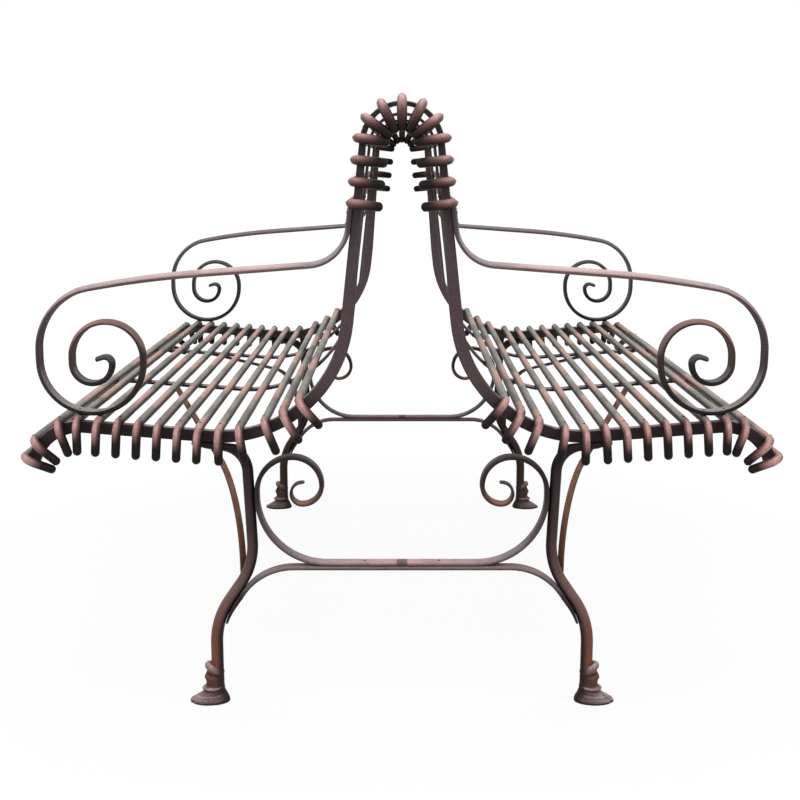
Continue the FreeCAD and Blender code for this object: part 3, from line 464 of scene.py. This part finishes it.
def slatBars(mesh):
    # axis, inward direction and finger drop of each bar in a node
    bm = bmesh.new()
    bm.from_mesh(mesh)
    bmesh.ops.remove_doubles(bm, verts=bm.verts[:], dist=1e-6)
    waiting, bars = set(bm.verts), []
    while waiting:
        todo = [waiting.pop()]
        group = []
        while todo:
            vert = todo.pop()
            group.append(vert.co)
            for edge in vert.link_edges:
                other = edge.other_vert(vert)
                if other in waiting:
                    waiting.remove(other)
                    todo.append(other)
        straight = [co for co in group if abs(co.y) < slatSet["endAt"] + 0.0005]
        low = Vector((min(co.x for co in straight), 0, min(co.z for co in straight)))
        high = Vector((max(co.x for co in straight), 0, max(co.z for co in straight)))
        axis = (low + high) / 2
        tips = [co for co in group if abs(co.y) > slatSet["endAt"] + slatSet["elbow"] * 0.9]
        middle = sum(tips, Vector()) / len(tips)
        inward = (Vector((middle.x, 0, middle.z)) - axis).normalized()
        drop = max((co - axis).dot(inward) for co in tips)
        bars.append((axis, inward, drop))
    bm.free()
    return sorted(bars, key=lambda bar: (round(bar[0].x, 4), bar[0].z))


def slatStands(axis, inward, drop, draw, stout):
    # half a slat from the middle to the far tip
    radius, elbow, endAt = slatSet["radius"], slatSet["elbow"], slatSet["endAt"]
    binormal = sideways.cross(inward)
    half, marks = [], []
    drift = [draw.uniform(0, 50) for _ in range(3)]
    for part in range(25):
        y = endAt * part / 24
        ease = min(1.0, (endAt - y) / 0.1)
        wave = Vector((noise.noise((y * 6, drift[0], 0)), 0, noise.noise((y * 6, drift[1], 0))))
        fat = 1 + slatSet["uneven"] * noise.noise((y * 25, drift[2], 0)) * ease
        at = axis + sideways * y + wave * slatSet["waves"] * ease
        half.append((at, sideways, fat))
        marks.append(y - endAt)
    for part in range(1, 13):
        turn = math.pi / 2 * part / 12
        at = axis + sideways * (endAt + elbow * math.sin(turn)) + inward * elbow * (1 - math.cos(turn))
        half.append((at, sideways * math.cos(turn) + inward * math.sin(turn), 1 + stout * min(1, turn)))
        marks.append(elbow * turn)
    start, bend = elbow, elbow * math.pi / 2
    length = drop - elbow - radius
    for part in range(1, 5):
        at = axis + sideways * (endAt + elbow) + inward * (start + length * part / 4)
        half.append((at, inward, 1 + stout * (1 - part / 8)))
        marks.append(bend + length * part / 4)
    for part in range(1, 7):
        turn = math.pi / 2 * part / 6.2
        at = axis + sideways * (endAt + elbow) + inward * (start + length + radius * math.sin(turn))
        half.append((at, inward, (1 + stout / 2) * math.cos(turn)))
        marks.append(bend + length + radius * math.sin(turn))
    return half, marks, binormal


def slatMesh(bm, bar, seed, stout):
    axis, inward, drop = bar
    draw = random.Random(seed)
    far, marks, binormal = slatStands(axis, inward, drop, draw, stout)
    near = [(Vector((at.x, -at.y, at.z)), Vector((-way.x, way.y, -way.z)), fat)
            for at, way, fat in far[1:]]
    line = near[::-1] + far
    stands = [stand(at, way, binormal, (fat, fat)) for at, way, fat in line]
    ring = roundRing(slatSet["radius"], slatSet["segments"])
    sweepBar(bm, ring, stands, marks[:0:-1] + marks, draw.random())


slatNames = sorted(name for name in nodes if "seat_slat" in name)
for count, name in enumerate(slatNames):
    bm = bmesh.new()
    bar = slatBars(nodes[name].data)[0]
    slatMesh(bm, bar, slatSet["seatSeed"] + count, slatSet["seatStout"])
    addPiece(name + ".worn", bm, seatFinish, [name])
bm = bmesh.new()
crestBars = slatBars(nodes["crest_slats"].data)
for count, bar in enumerate(crestBars):
    slatMesh(bm, bar, slatSet["crestSeed"] + count, slatSet["crestStout"])
addPiece("crest_slats.worn", bm, crestFinish, ["crest_slats"])
print("slats ready:", len(slatNames), "seat,", len(crestBars), "crest")


# flat bars: arms and scrolled stretchers, drawn out at their curled ends
def roundEnd(left, look):
    # share of the section left within the blunt tip
    short = 1 - min(1.0, left / look["blunt"])
    return max(0.12, math.sqrt(1 - short * short))


def drawnOut(left, look):
    # thickness and width left at a distance from a curled end
    share = min(1.0, left / look["drawn"])
    thin = look["tipThick"] + (1 - look["tipThick"]) * share ** 0.8
    slim = look["tipWide"] + (1 - look["tipWide"]) * share ** 0.5
    return thin * roundEnd(left, look), slim * roundEnd(left, look)


def sweepFlat(bm, look, points, curled):
    length = points[-1][3]
    both = "start" in curled
    low, high, more = look.get("stout", (0.0, 0.0, 0.0))
    line, marks = [], []
    for x, z, turn, gone in roundTips(points, look["blunt"]):
        left = min(length - gone, gone) if both else length - gone
        thin, slim = drawnOut(left, look)
        if low < gone < high:
            thin += more * math.sin(math.pi * (gone - low) / (high - low)) ** 0.5
        way = Vector((math.cos(turn), 0, math.sin(turn)))
        line.append(stand(Vector((x, 0, z)), way, sideways, (slim, thin)))
        marks.append(left if both else gone)
    section = halfRoundRing if look.get("arched") else flatRing
    sweepBar(bm, section(look["wide"], look["thick"], look["edge"]), line, marks)


def flatBar(node, look, points, curled, places, finish):
    bm = bmesh.new()
    sweepFlat(bm, look, points, curled)
    moveToCorner(bm, *places)
    piece = addPiece(node + ".worn", bm, finish, [node])
    piece.data.set_sharp_from_angle(angle=math.radians(38))


armSet = {
    "wide": 0.024, "thick": 0.0079, "edge": 0.0028, "arched": True,
    "drawn": 0.09, "tipThick": 0.9, "tipWide": 0.9, "blunt": 0.005,
    "stout": (0.06, 0.5, 0.32),  # from, to and by how much the bar is thicker
    "spot": (-0.076714, 0.771911), "heading": 263.7,
    "steps": (("run", 29.0), ("right", 62.0, 79.5), ("run", 161.937), ("left", 1500.0, 6.5),
              ("left", 97.0, 79.3), ("run", 15.5), ("left", 79.0, 180.0), ("run", 6.0),
              ("left", 54.5, 180.0), ("run", 9.0), ("left", 31.0, 180.0), ("left", 10.5, 108.0),
              ("run", 13.0)),
}
armLook = {
    # colours along the arm; the pale pink of the tops is painted reflection of the sky
    "top stops": ((0.0, "86797b"), (0.09, "9f9798"), (0.12, "a09395"), (0.18, "bfa6a5"),
                  (0.27, "c2a7a4"), (0.36, "b39ea1"), (0.44, "ae9d9f"), (0.53, "8f7d7e"),
                  (0.6, "706867"), (0.7, "8d8788"), (0.8, "686160"), (0.9, "816866"),
                  (0.97, "a17a73"), (1.05, "5f5958"), (1.15, "535050")),
    "side stops": ((0.0, "4d4042"), (0.1, "5f5051"), (0.2, "6a5452"), (0.45, "5c4a48"),
                   (0.56, "423839"), (0.7, "2a2324"), (0.9, "352a2a"), (0.97, "4d3936"),
                   (1.1, "272324")),
    "under": "211b1c", "waver": 0.05, "patch": ("4a4243", 0.2),
    "blotch": 0.04, "stretch": (1, 1, 1), "turn": (0.05, 0.4), "fleck": 0.05, "rough": (0.46, 0.6),
    "dent": 0.03, "bump": 0.1, "grit": 0.0,
}
# far arms: the same iron painted darker and greyer as painted shade
farArmLook = dict(armLook, **{
    "top stops": ((0.0, "6f6667"), (0.1, "7d7677"), (0.3, "77706f"), (0.5, "6a6463"), (0.6, "585352"),
                  (0.8, "5c5655"), (1.15, "4e4b4a")),
    "side stops": ((0.0, "453b3c"), (0.3, "584d4c"), (0.5, "4a4342"), (0.6, "3a3434"),
                   (1.1, "2a2626")),
})
armFinish = ironFinishWithPaintedLight("mauveArmIron", armLook)
farArmFinish = ironFinishWithPaintedLight("shadedFarArmIron", farArmLook)
armLine = bentLine(armSet["spot"], armSet["heading"], armSet["steps"])
for corner, places in corners.items():
    node = corner + "_arm"
    finish = armFinish if places[1] < 0 else farArmFinish
    flatBar(node, armSet, armLine, ("end",), places, finish)
print("arms ready")

stretcherSet = {
    "wide": 0.021, "thick": 0.0073, "edge": 0.0032,
    "drawn": 0.085, "tipThick": 0.34, "tipWide": 0.7, "blunt": 0.003,
    "spot": (-0.148896, 0.356026), "heading": 180.0,
    "scroll": (("run", 4.0), ("left", 17.0, 180.0), ("left", 30.0, 90.0), ("left", 44.0, 90.0),
               ("left", 55.3, 90.0), ("run", 6.0), ("left", 107.0, 90.0)),
    "middle": ("run", 230.392),
}
stretcherLook = {
    # colours along the bar from its tips; the reddish inside of the curl is a painted highlight where it
    # faces up
    "top stops": ((0.0, "544949"), (0.03, "664c49"), (0.057, "a07267"), (0.085, "886056"),
                  (0.11, "4c3c3c"), (0.16, "504546"), (0.2, "483e3f"), (0.26, "392f31"),
                  (0.31, "685d61"), (0.37, "918489"), (0.44, "b3989b"), (0.55, "c7a09a")),
    "side stops": ((0.0, "352a2b"), (0.03, "3a2d2c"), (0.057, "63463f"), (0.085, "583f3a"),
                   (0.11, "2f2526"), (0.16, "2c2324"), (0.26, "2a2122"), (0.31, "53494c"),
                   (0.38, "74686c"), (0.46, "87717a"), (0.55, "8d7578")),
    "under": "241b1c", "waver": 0.02, "patch": ("4b3d3e", 0.25),
    "mark": {"half": 0.01, "share": 0.8, "tone": "4a3c3f"},
    "blotch": 0.03, "stretch": (1, 1, 1), "turn": (-0.1, 0.75), "fleck": 0.2, "rough": (0.38, 0.54),
    "dent": 0.018, "bump": 0.28,
}
stretcherFinish = ironFinishWithPaintedLight("mauveStretcherIron", stretcherLook)
farStretcherFinish = ironFinishWithPaintedLight("dimStretcherIron", dict(stretcherLook, dim=0.4))
scroll = stretcherSet["scroll"]
stretcherSteps = scroll + (stretcherSet["middle"],) + scroll[::-1]
stretcherLine = bentLine(stretcherSet["spot"], stretcherSet["heading"], stretcherSteps)
for end, y in ends.items():
    node = end + "_scrolled_stretcher"
    finish = stretcherFinish if end == "near" else farStretcherFinish
    flatBar(node, stretcherSet, stretcherLine, ("start", "end"), (1, y), finish)
print("stretchers ready")

# lower stretchers: their tails lie along the legs and thin out
lowerSet = {
    "wide": 0.0205, "thick": 0.007, "edge": 0.0031,
    "drawn": 0.04, "tipThick": 0.45, "tipWide": 0.75, "blunt": 0.004,
    "spot": (-0.273892, 0.128649), "heading": 71.0,
    "tail": (("run", 6.0), ("right", 113.1, 15.0), ("run", 22.2), ("right", 95.0, 56.0)),
    "middle": ("run", 335.183),
}
lowerLook = {
    "top stops": ((0.0, "2a1f20"), (0.045, "33272a"), (0.075, "7d7075"), (0.12, "a08786"),
                  (0.3, "9a8488")),
    "side stops": ((0.0, "1f1617"), (0.045, "2a1f20"), (0.075, "64585b"), (0.12, "76696d"),
                   (0.3, "78696e")),
    "under": "241b1c", "waver": 0.01, "patch": ("64565a", 0.25),
    "blotch": 0.05, "stretch": (1, 1, 1), "turn": (-0.1, 0.75), "fleck": 0.2, "rough": (0.4, 0.56),
    "dent": 0.018, "bump": 0.28,
}
lowerFinish = ironFinishWithPaintedLight("mauveLowerIron", lowerLook)
farLowerFinish = ironFinishWithPaintedLight("dimLowerIron", dict(lowerLook, dim=0.4))
lowerSteps = lowerSet["tail"] + (lowerSet["middle"],) + lowerSet["tail"][::-1]
lowerLine = bentLine(lowerSet["spot"], lowerSet["heading"], lowerSteps)
for end, y in ends.items():
    node = end + "_lower_stretcher"
    finish = lowerFinish if end == "near" else farLowerFinish
    flatBar(node, lowerSet, lowerLine, ("start", "end"), (1, y), finish)
print("lower stretchers ready")

# legs: round bars that swell towards the foot, flattened where they lie under the rail
legSet = {
    "radius": 0.0085, "segments": 28, "spot": (-0.29, 0.034), "heading": 90.0,
    "swell": 0.13, "over": (0.26, 0.09),  # heights between which the bar swells
    "steps": (("run", 63.5), ("right", 125.0, 34.0), ("run", 34.0), ("left", 110.0, 36.5),
              ("run", 112.127), ("left", 42.0, 83.15), ("run", 45.0)),
    "flat": 0.004, "scarf": 0.030, "tip": 0.006,
}
legLook = {
    "top stops": ((0.0, "93746b"), (0.2, "84655a"), (0.34, "5c4a48"), (0.39, "2d2325")),
    "side stops": ((0.0, "5c463f"), (0.2, "54413d"), (0.34, "4b3b3b"), (0.39, "2b2224")),
    "under": "1f1716", "patch": ("4b3b3b", 0.4), "waver": 0.02,
    "height stops": ((0.06, "875342"), (0.11, "7f5345"), (0.15, "82615a"), (0.19, "7f6564"),
                     (0.22, "685351"), (0.25, "564341"), (0.29, "3e3134"), (0.42, "2b2224")),
    # inner: painted shade on the side turned to the middle of the bench
    "inner": "1d1618",
    "blotch": 0.03, "stretch": (1, 1, 0.35), "turn": (0.0, 0.8), "fleck": 0.25, "rough": (0.42, 0.58),
    "dent": 0.014, "bump": 0.4,
}
legFinish = ironFinishWithPaintedLight("brownLegIron", legLook)
farLegFinish = ironFinishWithPaintedLight("dimLegIron", dict(legLook, dim=0.8))


def legStands():
    points = bentLine(legSet["spot"], legSet["heading"], legSet["steps"], 0.006)
    x, z, turn, length = points[-1]
    lapEnd, lapWay = Vector((x, 0, z)), Vector((math.cos(turn), 0, math.sin(turn)))
    lapUp = sideways.cross(lapWay)
    high, low = legSet["over"]
    stands, marks = [], []
    for x, z, turn, gone in points:
        at, way = Vector((x, 0, z)), Vector((math.cos(turn), 0, math.sin(turn)))
        share = min(1.0, max(0.0, (high - z) / (high - low)))
        radius = legSet["radius"] * (1 + legSet["swell"] * share * share * (3 - 2 * share))
        up = sideways.cross(way)
        above, below = radius, -radius
        if way.dot(lapWay) > 0.8:
            above = min(radius, legSet["flat"] - (at - lapEnd).dot(lapUp))
        left = length - gone
        if left < legSet["scarf"]:
            end = legSet["flat"] - legSet["tip"]
            below = end + (below - end) * left / legSet["scarf"]
        grow = (above - below) / 2 / legSet["radius"]
        middle = at + up * (above + below) / 2
        stands.append(stand(middle, way, sideways, (radius / legSet["radius"], grow)))
        marks.append(gone)
    return stands, marks


for corner, (side, y) in corners.items():
    bm = bmesh.new()
    sweepBar(bm, roundRing(legSet["radius"], legSet["segments"]), *legStands())
    moveToCorner(bm, side, y)
    finish = legFinish if y < 0 else farLegFinish
    addPiece(corner + "_leg.worn", bm, finish, [corner + "_leg"])
print("legs ready")

# braces: slim flat bars that rise from the legs to the bearers
braceSet = {
    "wide": 0.0098, "thick": 0.006, "edge": 0.002,
    "drawn": 0.02, "tipThick": 0.8, "tipWide": 0.9, "blunt": 0.004,
    "foot": (-0.2475, 0.0106), "plan": 113.827, "start": (0.0, 0.20417), "heading": 90.0,
    "steps": (("run", 14.0), ("right", 150.0, 75.0), ("run", 276.152), ("right", 60.0, 15.0),
              ("run", 14.0)),
}
braceLook = {
    "top": "976d5b", "topWorn": "866051", "side": "644638", "sideWorn": "553c33", "under": "211817",
    "blotch": 0.03, "stretch": (1, 1, 0.35), "turn": (0.0, 0.8), "fleck": 0.25, "rough": (0.45, 0.62),
    "dent": 0.014, "bump": 0.4,
}
braceFinish = ironFinishWithPaintedLight("brownBraceIron", braceLook)
farBraceFinish = ironFinishWithPaintedLight("dimBraceIron", dict(braceLook, dim=0.72))
braceLine = bentLine(braceSet["start"], braceSet["heading"], braceSet["steps"])
bracePlan = Matrix.Rotation(math.radians(braceSet["plan"]), 3, "Z")
for corner, (side, y) in corners.items():
    bm = bmesh.new()
    sweepFlat(bm, braceSet, braceLine, ("start", "end"))
    bmesh.ops.rotate(bm, cent=(0, 0, 0), matrix=bracePlan, verts=bm.verts[:])
    bmesh.ops.translate(bm, vec=(*braceSet["foot"], 0), verts=bm.verts[:])
    if side * y > 0:
        bmesh.ops.scale(bm, vec=(1, -1, 1), verts=bm.verts[:])
        bmesh.ops.reverse_faces(bm, faces=bm.faces[:])
    moveToCorner(bm, side, y)
    finish = braceFinish if y < 0 else farBraceFinish
    addPiece(corner + "_brace.worn", bm, finish, [corner + "_brace"])
print("braces ready")

# hooves: rings from the sole up, with folds in the toe, both in millimetres
hoofSet = {
    "leg": 0.29, "segments": 64,
    # folds of the toe: height, rise per radian, first and last angle from the toe, depth
    "folds": ((4.2, 1.6, 0.5, 1.1, 0.45), (8.8, 1.2, 0.2, 0.9, 0.5)),
    "foldHalf": 0.8, "foldEase": 0.3, "foldDepth": 0.001,
    "cleft": {"from": 0.02, "aside": 0.011, "half": 0.0016, "high": 0.009, "depth": 0.002},
    "hammer": {"pitch": Vector((90, 90, 80)), "depth": 0.0006, "finePitch": 260, "fineDepth": 0.0002},
    # outer reach and height, inner reach and height, half width
    "rings": (
        (42.6, 0.0, 16.4, 0.0, 19.4), (44.0, 0.7, 17.6, 0.7, 20.7), (44.6, 2.4, 18.2, 2.6, 21.1),
        (43.4, 4.6, 18.0, 5.2, 20.9), (41.2, 6.2, 17.2, 7.2, 20.2), (39.6, 6.8, 16.6, 8.6, 19.6),
        (38.8, 7.6, 16.1, 9.6, 19.4), (36.4, 9.4, 15.0, 12.0, 18.9), (33.2, 11.0, 14.0, 14.0, 18.2),
        (31.6, 11.5, 13.4, 15.2, 17.6), (30.8, 12.3, 13.0, 16.4, 17.3), (28.0, 14.0, 12.2, 18.6, 16.8),
        (24.6, 16.2, 11.4, 20.4, 16.1), (21.8, 18.6, 10.8, 21.8, 15.2), (21.0, 20.0, 10.6, 22.6, 14.8),
        (22.6, 20.6, 10.7, 23.2, 16.0), (24.6, 21.8, 10.7, 24.2, 17.3), (24.8, 23.6, 10.6, 25.4, 17.5),
        (22.8, 25.4, 10.4, 26.6, 16.2), (19.9, 26.6, 10.2, 27.6, 14.4), (19.0, 29.0, 10.1, 29.4, 13.9),
        (18.8, 33.0, 10.0, 32.6, 13.6), (19.2, 36.4, 9.9, 35.4, 13.6), (20.6, 39.4, 9.9, 37.6, 14.1),
        (20.8, 42.4, 9.8, 39.6, 14.0), (19.2, 45.6, 9.8, 41.4, 13.3), (17.8, 49.0, 9.7, 43.0, 12.7),
        (16.6, 53.6, 9.6, 45.6, 12.0), (16.4, 55.0, 9.6, 46.4, 11.9), (18.2, 56.0, 9.9, 47.0, 13.4),
        (19.6, 58.2, 10.1, 48.0, 14.4), (19.8, 61.0, 10.2, 49.4, 14.5), (18.6, 63.8, 10.0, 50.8, 13.6),
        (16.2, 65.8, 9.8, 51.8, 12.2), (13.2, 66.0, 9.4, 52.8, 10.7), (8.3, 63.2, 8.4, 54.6, 8.4),
    ),
}
hoofLook = {
    "under": "1f1718",
    # painted highlights on the collar and the lip, and painted shadow in the dark gaps beneath them
    "top stops": ((0.0, "8a7779"), (0.006, "ae9a9d"), (0.012, "bfa9ab"), (0.018, "9d8686"),
                  (0.0215, "4f3c3c"), (0.0225, "dec9c8"), (0.026, "b69f9d"), (0.028, "856256"),
                  (0.043, "91695b"), (0.047, "553f3c"), (0.05, "c4afad"), (0.058, "bfa7a2")),
    "side stops": ((0.0, "2e2223"), (0.003, "44373a"), (0.006, "7d6b6e"), (0.012, "7d696c"),
                   (0.019, "4a3737"), (0.0215, "231817"), (0.0228, "9a8584"), (0.026, "705855"),
                   (0.0285, "5f4238"), (0.043, "6c493c"), (0.0475, "2a1e1a"), (0.05, "8a7370"),
                   (0.058, "857069")),
    "waver": 0.003, "patch": ("4a3838", 0.45), "creaseShade": "2e2021",
    "inner": "2a1f20", "innerEdge": (0.1, 0.8),
    "blotch": 0.016, "stretch": (1, 1, 1), "turn": (0.1, 0.9), "below": (-0.35, -0.8), "fleck": 0.3,
    "rough": (0.5, 0.66), "dent": 0.008, "bump": 0.5,
}
hoofFinish = ironFinishWithPaintedLight("greyHoofIron", hoofLook)
farHoofFinish = ironFinishWithPaintedLight("dimHoofIron", dict(hoofLook, dim=0.45))


def betweenRings(rings, steps):
    # even curve through the rings
    padded = (rings[0],) + rings + (rings[-1],)
    for before, first, second, after in zip(padded, padded[1:], padded[2:], padded[3:]):
        for step in range(steps):
            t = step / steps
            yield tuple(b + 0.5 * t * (c - a + t * (2 * a - 5 * b + 4 * c - d + t * (3 * (b - c) + d - a)))
                        for a, b, c, d in zip(before, first, second, after))
    yield rings[-1]


def hoofMesh(bm):
    stands, marks = [], []
    for outer, outerHeight, inner, innerHeight, wide in betweenRings(hoofSet["rings"], 3):
        low, high = Vector((inner, 0, innerHeight)) / 1000, Vector((-outer, 0, outerHeight)) / 1000
        across = (low - high) / 2
        grow = (across.length, wide / 1000)
        stands.append(stand((low + high) / 2, across.cross(sideways), across, grow))
        marks.append((innerHeight + outerHeight) / 2000)
    sweepBar(bm, roundRing(1.0, hoofSet["segments"]), stands, marks)
    # folds and a cleft in the toe, and a few hammer marks
    lot = bm.verts.layers.float["lot"]
    slit, blows, ease = hoofSet["cleft"], hoofSet["hammer"], hoofSet["foldEase"]
    for vert in bm.verts:
        co = vert.co
        angle = abs(math.atan2(co.y, -co.x))
        sunk = 0.0
        for height, rise, first, last, depth in hoofSet["folds"]:
            off = (co.z * 1000 - height - rise * angle) / hoofSet["foldHalf"]
            if first - ease < angle < last + ease:
                eased = min(1.0, (angle - first + ease) / ease, (last + ease - angle) / ease)
                sunk = max(sunk, depth * eased * math.exp(-off * off))
        ahead = min(1.0, max(0.0, -co.x - slit["from"]) / slit["from"])
        aside = math.exp(-((abs(co.y) - slit["aside"]) / slit["half"]) ** 2)
        cleft = aside * ahead * max(0.0, 1 - co.z / slit["high"])
        # the depth of folds and cleft goes to lot, where the finish paints shade in them
        vert[lot] = min(1.0, sunk + cleft)
        inward = Vector((-co.x - 0.008, -co.y, 0)).normalized()
        hammer = noise.noise(co * blows["pitch"]) * blows["depth"]
        hammer += noise.noise(co * blows["finePitch"]) * blows["fineDepth"]
        vert.co = co + inward * (sunk * hoofSet["foldDepth"] + cleft * slit["depth"] + hammer)


for corner, (side, y) in corners.items():
    bm = bmesh.new()
    hoofMesh(bm)
    bmesh.ops.translate(bm, vec=(-hoofSet["leg"], 0, 0), verts=bm.verts[:])
    moveToCorner(bm, side, y)
    finish = hoofFinish if y < 0 else farHoofFinish
    addPiece(corner + "_hoof.worn", bm, finish, [corner + "_hoof"])
print("hooves ready")

# finishes of the bars that stay as they are
frameLook = {
    "top": "9f8f93", "topWorn": "86787a", "side": "453a3d", "sideWorn": "53464a", "under": "201a1c",
    # painted shade: nearly black at the height of the seat rail, lighter on the uprights
    "height stops": ((0.38, "2b2325"), (0.46, "302729"), (0.52, "5c4c4f"), (0.7, "56484b"),
                     (0.9, "3f3437")),
    "blotch": 0.05, "stretch": (1, 1, 1), "turn": (0.25, 0.85), "fleck": 0.25, "rough": (0.42, 0.6),
    "dent": 0.02, "bump": 0.3,
}
rivetLook = {
    "top": "3a3031", "topWorn": "312627", "side": "211818", "sideWorn": "1c1414", "under": "140e0e",
    "blotch": 0.01, "stretch": (1, 1, 1), "turn": (0.0, 0.8), "fleck": 0.2, "rough": (0.45, 0.6),
    "dent": 0.004, "bump": 0.3,
}
finishes = {
    "rivets": ironFinishWithPaintedLight("darkRivetIron", rivetLook),
    "seat_slat": seatFinish, "crest_slats": crestFinish, "arm": armFinish, "scrolled": stretcherFinish,
    "hoof": hoofFinish,
    "end_frame": ironFinishWithPaintedLight("darkFrameIron", frameLook),
    "bearer": ironFinishWithPaintedLight("darkBearerIron", frameLook),
    "brace": braceFinish,
    "near_lower": lowerFinish, "far_lower": farLowerFinish,
    "near_leg": legFinish, "far_leg": farLegFinish,
}
for nodeName, node in nodes.items():
    finish = next(finish for part, finish in finishes.items() if part in nodeName)
    for place in node.material_slots:
        place.material = finish
print("finishes on", len(nodes), "nodes")
